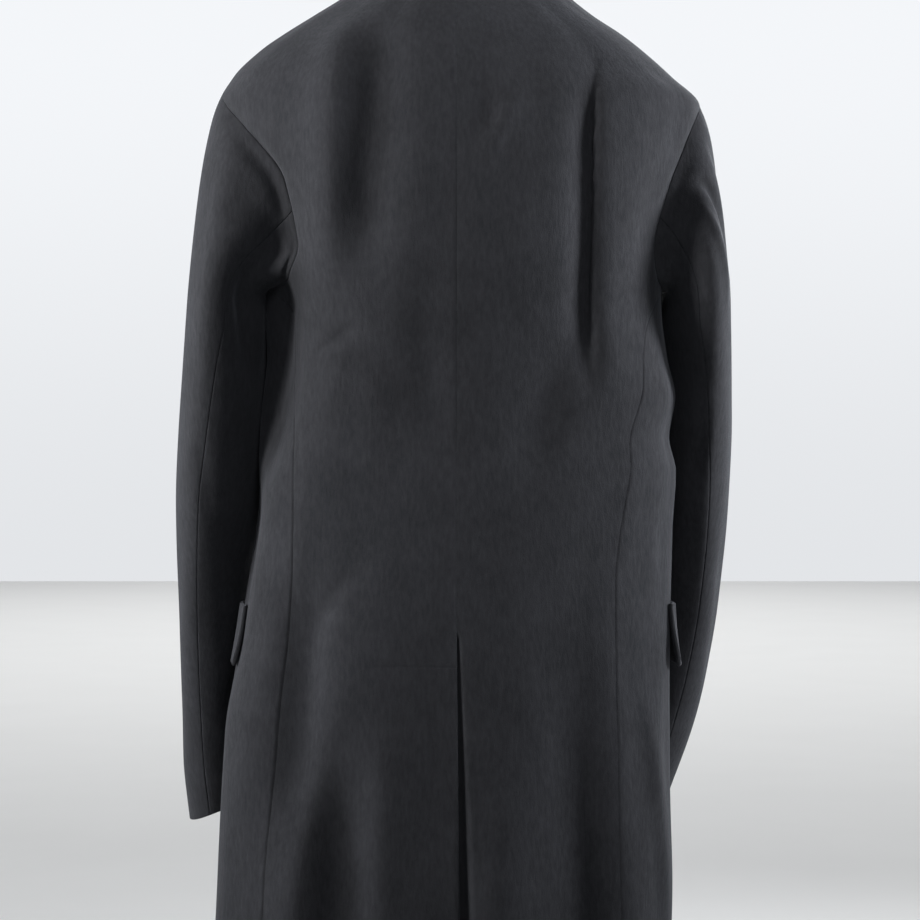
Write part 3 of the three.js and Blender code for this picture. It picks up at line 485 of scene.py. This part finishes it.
def node(tree, kind, **settings):
    """One shader node. A setting that names a socket gives its value or, where it is a socket, its
    link."""
    made = tree.nodes.new(kind)
    for key, value in settings.items():
        if hasattr(made, key):
            setattr(made, key, value)
            continue
        socket = made.inputs[int(key[1:])] if key[0] == "_" else made.inputs[key.replace("_", " ")]
        if isinstance(value, bpy.types.NodeSocket):
            tree.links.new(value, socket)
        else:
            socket.default_value = value
    return made


def blend(tree, factor, low, high):
    """A colour between low and high, by a factor."""
    return node(tree, "ShaderNodeMix", data_type="RGBA", _0=factor, _6=low, _7=high).outputs[2]


def new_material(name):
    """A material with its node tree and its shader."""
    material = bpy.data.materials.new(name)
    material.use_nodes = True
    return material, material.node_tree, material.node_tree.nodes["Principled BSDF"]


def nap_group():
    """The brushed face of melton. Fine fibres lie down the cloth over the bumps of a weave that hardly
    shows, in patches a few millimetres wide where the nap lies a little differently. Wear
    adds a few pale specks of lint. It puts out the colour, the roughness and the height."""
    tree = bpy.data.node_groups.new("nap", "ShaderNodeTree")
    for name, kind in (("Dark", "Color"), ("Light", "Color"), ("Wear", "Float")):
        tree.interface.new_socket(name, in_out="INPUT", socket_type="NodeSocket" + kind)
    for name, kind in (("Color", "Color"), ("Roughness", "Float"), ("Height", "Float")):
        tree.interface.new_socket(name, in_out="OUTPUT", socket_type="NodeSocket" + kind)
    given = node(tree, "NodeGroupInput")
    place = node(tree, "ShaderNodeTexCoord").outputs["Object"]
    lying = node(tree, "ShaderNodeMapping", _0=place, Scale=(1, 1, 0.3)).outputs[0]
    fibres = node(tree, "ShaderNodeTexNoise", Vector=lying, Scale=2600, Detail=3, Roughness=0.6)
    patches = node(tree, "ShaderNodeTexNoise", Vector=lying, Scale=330, Detail=3, Roughness=0.55)
    clouds = node(tree, "ShaderNodeTexNoise", Vector=place, Scale=26, Detail=3, Roughness=0.5)
    weave = node(tree, "ShaderNodeTexVoronoi", Vector=place, Scale=950, Randomness=0.7)

    def scaled(value, low, high, to_low, to_high):
        return node(
            tree,
            "ShaderNodeMapRange",
            Value=value,
            From_Min=low,
            From_Max=high,
            To_Min=to_low,
            To_Max=to_high,
        ).outputs[0]

    def maths(operation, first, second):
        return node(tree, "ShaderNodeMath", operation=operation, _0=first, _1=second).outputs[0]

    fine = scaled(fibres.outputs[0], 0.3, 0.7, 0, 0.4)
    middling = scaled(patches.outputs[0], 0.3, 0.7, 0, 0.34)
    broad = scaled(clouds.outputs[0], 0.3, 0.7, 0, 0.26)
    tone = maths("ADD", fine, maths("ADD", middling, broad))
    cloth = blend(tree, tone, given.outputs["Dark"], given.outputs["Light"])
    specks = node(tree, "ShaderNodeTexVoronoi", Vector=place, Scale=34, Randomness=1)
    lint = scaled(specks.outputs["Distance"], 0.016, 0.024, 1, 0)
    rare = maths("GREATER_THAN", specks.outputs["Color"], 0.93)
    few = maths("MULTIPLY", maths("MULTIPLY", lint, rare), given.outputs["Wear"])
    speckled = blend(tree, few, cloth, (0.3, 0.3, 0.29, 1))
    fine = scaled(fibres.outputs[0], 0, 1, 0, 0.5)
    middling = scaled(patches.outputs[0], 0, 1, 0, 0.9)
    woven = scaled(weave.outputs["Distance"], 0, 1, 0, 0.25)
    height = maths("ADD", fine, maths("ADD", middling, woven))
    out = node(tree, "NodeGroupOutput")
    tree.links.new(speckled, out.inputs["Color"])
    tree.links.new(scaled(patches.outputs[0], 0.3, 0.7, 0.98, 0.86), out.inputs["Roughness"])
    tree.links.new(height, out.inputs["Height"])
    return tree


NAP = nap_group()


def wool(name, dark, light, wear, sheen, depth):
    """Melton as a material: the nap's colour, roughness and height on a soft, sheeny shader."""
    material, tree, shader = new_material(name)
    nap = node(tree, "ShaderNodeGroup", node_tree=NAP, Dark=(*dark, 1), Light=(*light, 1), Wear=wear)
    bump = node(tree, "ShaderNodeBump", Strength=0.5, Distance=depth, Height=nap.outputs["Height"])
    tree.links.new(nap.outputs["Color"], shader.inputs["Base Color"])
    tree.links.new(nap.outputs["Roughness"], shader.inputs["Roughness"])
    tree.links.new(bump.outputs[0], shader.inputs["Normal"])
    shader.inputs["Specular IOR Level"].default_value = 0.15
    shader.inputs["Sheen Weight"].default_value = sheen
    shader.inputs["Sheen Roughness"].default_value = 0.42
    shader.inputs["Sheen Tint"].default_value = (0.62, 0.66, 0.76, 1)
    return material


MELTON = wool("melton", (0.008, 0.0085, 0.010), (0.021, 0.0218, 0.0255), 1, 0.08, 0.0008)


def dress(piece, replaced, material):
    """What every piece has: its material, its body and the node that it stands for."""
    piece.data.materials.clear()
    piece.data.materials.append(material)
    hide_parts(replaced)
    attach(piece, "root")


for side in ("left", "right"):
    tack = TACK["z"] + np.array(TACK["rows"]) if side == "left" else []
    heights = body_rows(side, tack)
    turns = back_grid(side, heights)
    z = bent(heights[:, None], turns)
    turns = SIGN[side] * turns
    if side == "right":
        lift = vent_lift(turns, z)
    else:
        x = ring_point(turns, z)[..., 0]
        drawn = np.exp(-(((z - TACK["z"]) / TACK["wide"]) ** 2))
        lift = -TACK["deep"] * drawn * (x < TACK["x"])
    points = body_point(turns, z, lift)
    piece = wall(
        f"back_{side}_cloth",
        points,
        grid_normals(points, body_normal(turns, z)),
        CLOTH,
        (1.5, 0.8, 0.4, SIDE_RADIUS[side]),
    )
    dress(piece, f"back_{side}", MELTON)

# ---- The two fronts ---------------------------------------------------------------------------------
# Each runs from the side-back seam round to the centre front with no side seam, the left one buttoned
# over the right one. Above the break their edges roll back as lapels.

BREAK_Z = -335
GORGE_Z = -50
FRONT_OVERLAP = 24
NECK_ROLL_X = 71
LAYER_GAP = 1.2


def leading_x(z):
    """x of the left front's edge: straight up to the break, then along the roll line to the neck."""
    return mix(-FRONT_OVERLAP, NECK_ROLL_X, share(BREAK_Z, 0, z))


def own_turn(side, x, z):
    """The turn of a place on the front, counted round from the back on the side's own way."""
    turn = np.pi - turn_at(x, z, "boxy_front")
    return turn if side == "left" else 2 * np.pi - turn


def front_grid(side, z):
    """The turns of a front's columns, a row for each height: closing up below the armhole, even to the
    edge."""
    start = side_edge(side, z, "front") - SEAM_LAP / LAP_RADIUS
    end = own_turn(side, SIGN[side] * leading_x(z), z)
    bend = np.minimum(np.radians(FRONT_BEND), mix(start, end, FRONT_BEND_SHARE))
    first = mix(start[:, None], bend[:, None], np.linspace(0, 1, 47))
    return np.hstack([first, mix(bend[:, None], end[:, None], np.linspace(0, 1, 37)[1:])])


def front_lift(turn, z):
    """How far the right front is sunk where the left front covers it."""
    covered = soft(-12, -3, ring_point(turn, z)[..., 0] - leading_x(z)) * (np.cos(turn) < 0)
    return -(CLOTH + LAYER_GAP) * covered


for side in ("left", "right"):
    heights = body_rows(side)
    turns = front_grid(side, heights)
    z = bent(heights[:, None], turns)
    turns = SIGN[side] * turns
    points = body_point(turns, z, front_lift(turns, z) if side == "right" else 0)
    piece = wall(
        f"front_{side}_cloth",
        points,
        grid_normals(points, body_normal(turns, z)),
        CLOTH,
        (1.5, 0.8, SIDE_RADIUS[side], 1.5),
    )
    dress(piece, f"front_{side}", MELTON)

# ---- The sleeves ------------------------------------------------------------------------------------
# Two-piece tailored sleeves set into the armholes: a wide top sleeve and a narrow under sleeve, joined
# by a hind-arm and a fore-arm seam. They hang free of the body, bent a little forwards.

SLEEVE_RINGS = {
    "left": table(
        "z out y a b tilt drop",
        (-302, 239.7, 4, 35, 71.6, 8, 0),
        (-356, 244.5, -4, 37, 70.4, 8, 0),
        (-413, 249.8, -12, 39, 67.3, 8, 0),
        (-473, 255, -27, 38.5, 64.4, 8, 0),
        (-530, 257.6, -50, 36.4, 60.6, 8, 0),
        (-605, 259.5, -78, 35, 56.8, 8, 1),
        (-655, 259, -90, 34.6, 55.4, 8, 4),
        (-710, 257.5, -101, 34.7, 54, 8, 9),
        (-762, 253, -111, 35, 53.3, 8, 14),
    ),
    "right": table(
        "z out y a b tilt drop",
        (-302, 243.7, -9, 29, 73.2, 8, 0),
        (-371, 248.2, -34, 31.4, 69.8, 8, 0),
        (-421, 250, -44, 34, 66.9, 8, 0),
        (-487, 249.1, -56, 34.6, 63.2, 8, 0),
        (-566, 244.3, -76, 35, 58.3, 8, 0),
        (-631, 236.2, -96, 35.3, 54.4, 8, -2),
        (-690, 224.6, -114, 36, 51.5, 8, -6),
        (-762, 203.7, -134, 35.5, 48.6, 8, -10),
    ),
}
CAP_SHARE = 0.27
SLEEVE_LENGTH = 640
SLEEVE_WAVES = 0.7  # how high the body's faint waves are on the sleeves, as a share
CAP_EDGE = 0.05  # over this share of the way down the folds come in, and the rows lie closer

# How the sleeve leaves the armhole, by degrees from its outer edge towards the back: the direction it
# starts in, how far it holds that, and how far up it holds the tube's.
CAP = table(
    "turn out back down reach rise",
    (-180, 0.95, 0, -0.2, 9, 9),
    (-135, 0.9, 0.1, 0.35, 18, 26),
    (-90, 0.85, 0, 0.5, 30, 52),
    (-45, 0.62, -0.15, 0.76, 34, 66),
    (0, 0.42, 0, 0.91, 38, 80),
    (45, 0.62, 0.15, 0.76, 34, 66),
    (90, 0.85, 0, 0.5, 30, 52),
    (135, 0.9, -0.1, 0.35, 18, 26),
    (180, 0.95, 0, -0.2, 9, 9),
)
SLEEVE_SEAMS = table(
    "down hind fore",
    (0, 112, -120),
    (0.12, 118, -124),
    (0.27, 113, -130),
    (0.355, 101, -132),
    (0.445, 91, -134),
    (0.54, 85, -135),
    (1, 82, -138),
)

# The folds of the sleeves: x is the turn in degrees, z the way down from the armhole in millimetres.
FOLD_COLUMNS = "x0 z0 x1 z1 x2 z2 plus minus high grow fade"
SLEEVE_FOLDS = {
    "left": table(
        FOLD_COLUMNS,
        (118, 2, 132, 102, 142, 262, 15, 15, -11, 0.2, 0.4),
        (-70, 230, -96, 294, -120, 346, 11, 11, -4, 0.4, 0.4),
        (20, 10, 44, 80, 62, 190, 16, 16, -2.4, 0.4, 0.5),
        (84, 270, 92, 330, 104, 380, 12, 12, -2.2, 0.4, 0.4),
        (-60, 290, -84, 340, -112, 372, 9, 9, -3, 0.4, 0.4),
        (-96, 330, -78, 400, -66, 460, 12, 12, -2.4, 0.4, 0.4),
        (40, 380, 30, 480, 24, 600, 18, 18, -2, 0.4, 0.3),
        (-20, 60, -34, 150, -40, 260, 18, 18, -2.4, 0.4, 0.4),
    ),
    "right": table(
        FOLD_COLUMNS,
        (78, 19, 44, 77, 36, 154, 7, 7, -5, 0.4, 0.4),
        (84, 38, 64, 102, 58, 192, 7, 7, 3, 0.4, 0.4),
        (-70, 230, -96, 294, -120, 346, 11, 11, -4, 0.4, 0.4),
        (30, 14, 16, 60, 10, 110, 8, 8, -2.6, 0.4, 0.4),
        (96, 250, 104, 300, 116, 340, 12, 12, -2.4, 0.4, 0.4),
        (-58, 300, -84, 346, -110, 374, 9, 9, -3, 0.4, 0.4),
        (-96, 330, -78, 400, -66, 460, 12, 12, -2.4, 0.4, 0.4),
        (50, 330, 40, 440, 30, 560, 18, 18, -2, 0.4, 0.3),
        (-24, 50, -36, 140, -40, 250, 18, 18, -2.4, 0.4, 0.4),
    ),
}

# Beside the back of the armhole the sleeve dives under the body's edge: how deep, how far from the seam,
# how wide, between which turns, and over how many degrees it comes and goes.
DIVE = {"from_seam": 13, "wide": 12, "start": 38, "stop": 172, "grow": 50, "fade": 40}
DIVE_DEEP = {"left": 7, "right": 2}


def armhole_ring(side):
    """The edge of an armhole from the underarm up the front, over the shoulder tip and down the back:
    its points, passed by the seam's lap, and the turn of each by its share of the way round."""
    along = np.linspace(0, 1, 161)
    halves = []
    for edge, sign in ((side + "_back", 1), ("front", -1)):
        z = mix(SHOULDER_TIP_Z[side], ARMPIT_Z, (1 - np.cos(np.pi * along)) / 2)
        inside = np.clip(z, ARMPIT_Z + 1e-3, SHOULDER_TIP_Z[side] - 1e-3)
        turn = SIGN[side] * side_edge(side, inside, edge)
        height = bent(z, turn)
        points = body_point(turn, height)
        arc = np.concatenate([[0], np.cumsum(np.linalg.norm(np.diff(points, axis=0), axis=1))])
        halves.append((points, body_normal(turn, height), sign * 180 * arc / arc[-1]))
    points, normals, turns = (np.concatenate([f[::-1], b[1:]]) for b, f in zip(*halves))
    after, before = np.roll(points[:-1], -1, axis=0), np.roll(points[:-1], 1, axis=0)
    across = unit(np.cross(normals[:-1], after - before))
    across = across * np.sign(np.sum(across * (points.mean(0) - points[:-1]), -1, keepdims=True))
    across = np.concatenate([across, across[:1]])
    return points - across * 3 * SEAM_LAP, turns


def tube_point(side, turn, z):
    """A sleeve's tube at a height: an ellipse with its front end turned in and its lower edge slanted."""
    ring = read(SLEEVE_RINGS[side], z)
    tilt = np.radians(ring["tilt"])
    half = np.hypot(ring["a"] * np.cos(tilt), ring["b"] * np.sin(tilt))
    p, q = ring["a"] * np.cos(np.radians(turn)), ring["b"] * np.sin(np.radians(turn))
    across = p * np.cos(tilt) + q * np.sin(tilt)
    back = q * np.cos(tilt) - p * np.sin(tilt)
    x = SIGN[side] * (ring["out"] - half + across)
    return np.stack([x, ring["y"] + back, z - ring["drop"] * across / half], -1)


def sleeve_surface(side, hole):
    """A sleeve as a function of the turn and the share of the way down: below the cap the tube, above
    it a cubic curve from the armhole's edge to the tube's first ring, and on both the folds."""
    points, turns = hole
    rings = SLEEVE_RINGS[side]
    top_z, cuff_z = rings["z"][-1], rings["z"][0]

    def smooth(angle, down):
        turn = (angle + 540) % 360 - 180
        tube = tube_point(side, turn, mix(top_z, cuff_z, share(CAP_SHARE, 1, down)))
        cap = {name: column[..., None] for name, column in read(CAP, turn).items()}
        start = np.stack([np.interp(turn, turns, points[:, k]) for k in range(3)], -1)
        end = tube_point(side, turn, top_z + 0 * turn)
        axis = unit(end - tube_point(side, turn, top_z - 12 + 0 * turn))
        leave = unit(np.concatenate([SIGN[side] * cap["out"], cap["back"], -cap["down"]], -1))
        t = np.clip(down / CAP_SHARE, 0, 1)[..., None]
        s = 1 - t
        handle1, handle2 = start + leave * cap["reach"], end + axis * cap["rise"]
        curve = s**3 * start + 3 * s * s * t * handle1 + 3 * s * t * t * handle2 + t**3 * end
        return np.where((down >= CAP_SHARE)[..., None], tube, curve)

    def folded(angle, down):
        turn = (angle + 540) % 360 - 180
        lift = 0 * turn
        folds = SLEEVE_FOLDS[side]
        for i in range(len(folds["x0"])):
            fold = {name: column[i] for name, column in folds.items()}
            lift += fold_lift(turn, down * SLEEVE_LENGTH, fold)
        for across, slow, phase, high in zip(*WAVES.values()):
            wave = round(across / 3) * np.radians(turn) + slow * SLEEVE_LENGTH * down + phase
            lift += SLEEVE_WAVES * high * np.sin(wave)
        beside = (SLEEVE_LENGTH * down - DIVE["from_seam"]) / DIVE["wide"]
        behind = soft(DIVE["start"], DIVE["start"] + DIVE["grow"], turn)
        behind = behind * soft(DIVE["stop"], DIVE["stop"] - DIVE["fade"], turn)
        lift = lift - DIVE_DEEP[side] * np.exp(-(beside**2)) * behind
        normal = normal_of(smooth, angle, np.maximum(down, 0.004), 2 * SIGN[side], -0.004)
        return smooth(angle, down) + normal * (lift * soft(0, CAP_EDGE, down))[..., None], normal

    return folded


SLEEVE_LAP = 0.1  # degrees
for side in ("left", "right"):
    surface = sleeve_surface(side, armhole_ring(side))
    head = np.linspace(0, CAP_EDGE, 13)
    upper = np.linspace(CAP_EDGE, CAP_SHARE, 54)[1:]
    down = np.concatenate([head, upper, np.linspace(CAP_SHARE, 1, 150)[1:]])
    seams = read(SLEEVE_SEAMS, down)
    for layer, count in (("top", 82), ("under", 46)):
        start = seams["fore"] if layer == "top" else seams["hind"]
        stop = seams["hind"] if layer == "top" else seams["fore"] + 360
        turn = mix(
            start[:, None] - SLEEVE_LAP, stop[:, None] + SLEEVE_LAP, np.linspace(0, 1, count)
        )
        points, normals = surface(turn, down[:, None] + 0 * turn)
        piece = wall(
            f"{layer}_sleeve_{side}_cloth",
            points,
            grid_normals(points, normals),
            CLOTH,
            (0.8, 1.5, 0.8, 0.8),
        )
        dress(piece, f"{layer}_sleeve_{side}", MELTON)

# ---- The lapels -------------------------------------------------------------------------------------
# The upper part of each front, turned back on itself along the roll line and pressed. The cloth rolls
# round the edge, and lies flat on the chest up to the notch.

COLLAR_CLOTH = 2.6
LAPEL_EDGE = table(
    "up x z",
    (0, -FRONT_OVERLAP, BREAK_Z),
    (0.15, 6, -308),
    (0.4, 54, -246),
    (0.7, 99, -166),
    (1, 126, -92),
)
NOTCH = {"at": 0.48, "rise": 13}
LAPEL_START = {"left": 0.05, "right": 0.22}  # how far up the roll line each lapel begins to show
LAPEL_TUCK = 1.5  # how far the right lapel stays behind the left front's edge
COLLAR_MELTON = wool("collar melton", (0.0075, 0.008, 0.0095), (0.019, 0.0198, 0.0235), 0, 0.14, 0.0005)

for side in ("left", "right"):
    up = np.linspace(LAPEL_START[side], 1, 110)[:, None]
    t = np.linspace(0, 1, 46)[None]
    edge = read(LAPEL_EDGE, up)
    roll_z = mix(BREAK_Z, GORGE_Z + 0.6, up)
    notch = up**8 * NOTCH["rise"] * np.minimum(t / NOTCH["at"], (1 - t) / (1 - NOTCH["at"]))
    z = mix(roll_z, edge["z"], t) + notch
    x = mix(leading_x(roll_z), edge["x"], t)
    if side == "right":
        x = np.minimum(-x, leading_x(z) - LAPEL_TUCK - t * 0.01)
    turns = SIGN[side] * own_turn(side, x, z)
    points = body_point(turns, z, COLLAR_CLOTH + LAYER_GAP)
    piece = wall(
        f"lapel_{side}_cloth",
        points,
        grid_normals(points, body_normal(turns, z)),
        COLLAR_CLOTH,
        (0.9, 1.0, 1.3, 1.3),
    )
    dress(piece, f"lapel_{side}", COLLAR_MELTON)

# ---- The collar -------------------------------------------------------------------------------------
# One strip of wool over canvas, sewn to the neck. It stands up from the seam, folds over and falls on
# the shoulders, and its two ends lie on the fronts beside the lapels' notches.

SEAT_GAP = 0.5
COLLAR = table(
    "along stand lean turn z",
    (0, 34, 1, 0, -36),
    (0.25, 33, 1, 34, -33),
    (0.5, 30, 2, 67, -22),
    (0.65, 24, 2, 92, -18),
    (0.82, 14, 2, 119, -38),
    (1, 7, 1, 137, -61),
)
COLLAR_SIDE = 0.66


def neck_seam(side, along):
    """The foot of the collar and the way it stands up, from the centre back round to the gorge: along
    the top of the backs and fronts, then down the roll line."""
    sign = SIGN[side]
    round_turn = sign * own_turn(side, sign * leading_x(0.0), np.array(0.0)) * along / COLLAR_SIDE
    round_foot = body_point(round_turn, bent(0.0, round_turn))
    inward = unit(-round_foot * (1, 1, 0))
    round_foot = round_foot + inward * (COLLAR_CLOTH - 0.6) + (0, 0, 0.7)
    t = share(COLLAR_SIDE, 1, along)
    z = mix(0, GORGE_Z, t)
    turn = sign * own_turn(side, sign * leading_x(z), z)
    across = unit(np.array([-sign, 0, 0.3]))
    edge_foot = body_point(turn, z) + across * (COLLAR_CLOTH + mix(0.4, 1, t))[:, None]
    edge_foot[:, 2] += mix(1, 0.4, t)
    edge_up = body_normal(turn, z) * mix(0.15, 1, t)[:, None]
    edge_up[:, 2] += mix(1, 0.2, t)
    first = (along <= COLLAR_SIDE)[:, None]
    foot = np.where(first, round_foot, edge_foot)
    return foot, np.where(first, unit(inward * 0.12 + (0, 0, 1)), unit(edge_up))


def through(points, count):
    """A smooth line through each row's points: between two of them a cubic with the mean slopes on both
    sides, by the length of the steps."""
    lengths = np.linalg.norm(np.diff(points, axis=1), axis=-1)
    at = np.concatenate([np.zeros((len(points), 1)), np.cumsum(lengths, 1)], 1)
    slopes = np.gradient(points, axis=1) / np.gradient(at, axis=1)[..., None]
    where = np.linspace(0, points.shape[1] - 1, count)
    i = np.minimum(where.astype(int), points.shape[1] - 2)
    u = (where - i)[None, :, None]
    v = 1 - u
    step = lengths[:, i, None]
    curve = points[:, i] * (1 + 2 * u) * v * v + points[:, i + 1] * (1 + 2 * v) * u * u
    return curve + (slopes[:, i] * v - slopes[:, i + 1] * u) * step * u * v


def collar_rows(side, along):
    """The collar's section at each place along: up the stand, over the fold, and down to the edge that
    lies on the body."""
    row = read(COLLAR, along)
    foot, up = neck_seam(side, along)
    turn = SIGN[side] * np.radians(row["turn"])
    edge = body_point(turn, row["z"], COLLAR_CLOTH + 1.6 * SEAT_GAP)
    out = edge - foot
    out = unit(out - up * np.sum(out * up, -1, keepdims=True))
    stand, lean = row["stand"][:, None], row["lean"][:, None]

    def place(rise, over):
        return foot + up * stand * rise + out * over

    over = place(0.93, lean + 7.4)
    handle = over - up * 0.35 * stand + out * 2.5
    lay = mix(edge + body_normal(turn, row["z"]) * 2, over, 0.3)
    fall = [
        (1 - t) ** 3 * over + 3 * (1 - t) ** 2 * t * handle + 3 * (1 - t) * t * t * lay + t**3 * edge
        for t in np.linspace(0, 1, 6)
    ]
    fold = [place(0, 0), place(0.4, lean * 0.3), place(0.8, lean * 0.7), place(0.97, lean + 1.6)]
    return np.stack([*fold, place(1, lean + 4), *fall], 1)


along = np.linspace(0, 1, 90)
rows = np.concatenate([collar_rows("right", along[:0:-1]), collar_rows("left", along)])
points = through(rows, 61)
piece = wall(
    "collar_cloth",
    points,
    unit(np.cross(np.gradient(points, axis=0), np.gradient(points, axis=1))),
    COLLAR_CLOTH,
    (1.2, 1.2, 0.9, 1.2),
)
dress(piece, "collar", COLLAR_MELTON)

# ---- The pocket flaps -------------------------------------------------------------------------------
# Two layers of melton turned and pressed, sewn into a slit on each hip. The right one has come to stand
# off at its lower rear corner.

FLAP_CLOTH = 4.0
FLAP_CORNER = {"from": 0.9, "cut": 0.16}  # where the rounding starts, and its share of the height
FLAPS = {
    "left": {"rear": 85, "front": 135, "top": -565, "height": 54, "rear_lift": 1.5, "front_lift": 0.5},
    "right": {"rear": 75, "front": 126, "top": -563, "height": 55, "rear_lift": 8, "front_lift": 2},
}

for side in ("left", "right"):
    flap = FLAPS[side]
    t = np.linspace(0, 1, 64)[None]
    down = np.linspace(0, 1, 26)[:, None]
    corner = share(FLAP_CORNER["from"], 1, np.abs(2 * t - 1)) ** 2
    turns = SIGN[side] * np.radians(mix(flap["rear"], flap["front"], t + 0 * down))
    z = flap["top"] - flap["height"] * down * (1 - FLAP_CORNER["cut"] * corner)
    stand = mix(flap["rear_lift"], flap["front_lift"], t**0.6) * down**1.4
    points = body_point(turns, z, FLAP_CLOTH + SEAT_GAP + stand)
    piece = wall(
        f"flap_{side}_cloth",
        points,
        grid_normals(points, body_normal(turns, z)),
        FLAP_CLOTH,
        (1.0, 1.8, 1.8, 1.8),
    )
    dress(piece, f"flap_{side}", MELTON)

# ---- The buttons ------------------------------------------------------------------------------------
# Three dark horn buttons with a rounded rim and four holes, sewn to the left front's edge. Their form is
# the solids' own, and only the finish is given here.


def horn():
    """Polished dark horn: faint brown clouds drawn out along one way, under a soft gloss."""
    material, tree, shader = new_material("dark horn")
    place = node(tree, "ShaderNodeTexCoord").outputs["Object"]
    drawn = node(tree, "ShaderNodeMapping", _0=place, Scale=(1, 1, 0.25)).outputs[0]
    cloud = node(tree, "ShaderNodeTexNoise", Vector=drawn, Scale=210, Detail=4, Roughness=0.6)
    colour = blend(tree, cloud.outputs[0], (0.006, 0.005, 0.005, 1), (0.035, 0.024, 0.018, 1))
    tree.links.new(colour, shader.inputs["Base Color"])
    shader.inputs["Roughness"].default_value = 0.32
    return material


HORN = horn()
for i in (1, 2, 3):
    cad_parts[f"button_{i}"].data.materials.clear()
    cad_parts[f"button_{i}"].data.materials.append(HORN)

# ---- The room ---------------------------------------------------------------------------------------
# A pale floor under soft light from all round and six lamps. The camera is level, 1.9 m behind the middle
# of the coat.

FLOOR_Z = -1.35
FLOOR_REACH = 14.0
EYE = (-0.0027, 1.9, -0.4365)
LENS = 82.6
SENSOR = 36


def pale(name, colour):
    """Matt pale paint with a faint grain."""
    material, tree, shader = new_material(name)
    place = node(tree, "ShaderNodeTexCoord").outputs["Object"]
    grain = node(tree, "ShaderNodeTexNoise", Vector=place, Scale=3, Detail=4)
    darker = (*(0.96 * c for c in colour), 1)
    tone = blend(tree, grain.outputs[0], darker, (*colour, 1))
    tree.links.new(tone, shader.inputs["Base Color"])
    shader.inputs["Roughness"].default_value = 0.9
    return material


mesh = bpy.data.meshes.new("floor")
far = FLOOR_REACH
corners = [(-far, -far, 0), (far, -far, 0), (far, far, 0), (-far, far, 0)]
mesh.from_pydata(corners, [], [(0, 1, 2, 3)])
floor = bpy.data.objects.new("floor", mesh)
floor.location.z = FLOOR_Z
floor.data.materials.append(pale("pale floor", (0.86, 0.86, 0.85)))
bpy.context.collection.objects.link(floor)


def daylight():
    """Soft light all round, by direction: dim from behind the camera, bright from the sides and from
    beyond the coat, and falling towards the horizon, where it meets the floor's tone."""
    world = bpy.data.worlds.new("soft daylight")
    bpy.context.scene.world = world
    world.use_nodes = True
    tree = world.node_tree
    way = node(tree, "ShaderNodeTexCoord").outputs["Generated"]
    parts = node(tree, "ShaderNodeSeparateXYZ", Vector=way).outputs

    def ramp(value, start, stop, low, high):
        return node(
            tree,
            "ShaderNodeMapRange",
            interpolation_type="SMOOTHSTEP",
            Value=value,
            From_Min=start,
            From_Max=stop,
            To_Min=low,
            To_Max=high,
        ).outputs[0]

    around = ramp(parts["Y"], 0.3, -0.65, 0.07, 0.95)
    rise = ramp(parts["Z"], -0.06, 0.2, 0.85, 1.0)
    strength = node(tree, "ShaderNodeMath", operation="MULTIPLY", _0=around, _1=rise).outputs[0]
    back = tree.nodes["Background"]
    back.inputs["Color"].default_value = (0.95, 0.97, 1.0, 1)
    tree.links.new(strength, back.inputs["Strength"])


daylight()


def lamp(name, place, target, size, watts, spread, colour):
    """A round soft lamp that points at its target, its light kept within spread degrees."""
    light = bpy.data.lights.new(name, "AREA")
    light.shape = "DISK"
    light.size = size
    light.energy = watts
    light.spread = np.radians(spread)
    light.color = colour
    holder = bpy.data.objects.new(name, light)
    holder.location = place
    way = Vector(target) - Vector(place)
    holder.rotation_euler = way.to_track_quat("-Z", "Y").to_euler()
    bpy.context.collection.objects.link(holder)


lamp("key", (2.1, 0.95, 0.1), (0, 0.1, 0.12), 0.45, 15, 70, (1, 0.985, 0.96))
lamp("left rim", (2.2, 0.05, 0), (0.24, 0, -0.4), 0.8, 6, 50, (0.97, 0.98, 1))
lamp("right rim", (-2.2, 0.1, 0.1), (-0.24, 0, -0.22), 0.8, 9, 40, (0.97, 0.98, 1))
lamp("top fill", (-0.3, 1.8, 1.0), (0, 0, -0.1), 0.8, 5, 100, (0.97, 0.98, 1))
lamp("front fill", (-1.5, -2.6, 0.8), (0, 0, -0.4), 1.4, 24, 120, (0.95, 0.97, 1))
lamp("floor light", (0, -9, 4), (0, -9, FLOOR_Z), 11, 235, 140, (1, 1, 1))

camera = bpy.data.cameras.new("camera")
camera.sensor_width = SENSOR
camera.lens = LENS
eye = bpy.data.objects.new("camera", camera)
eye.location = EYE
eye.rotation_euler = (np.pi / 2, 0, np.pi)
bpy.context.collection.objects.link(eye)
bpy.context.scene.camera = eye
bpy.context.scene.view_settings.view_transform = "Standard"
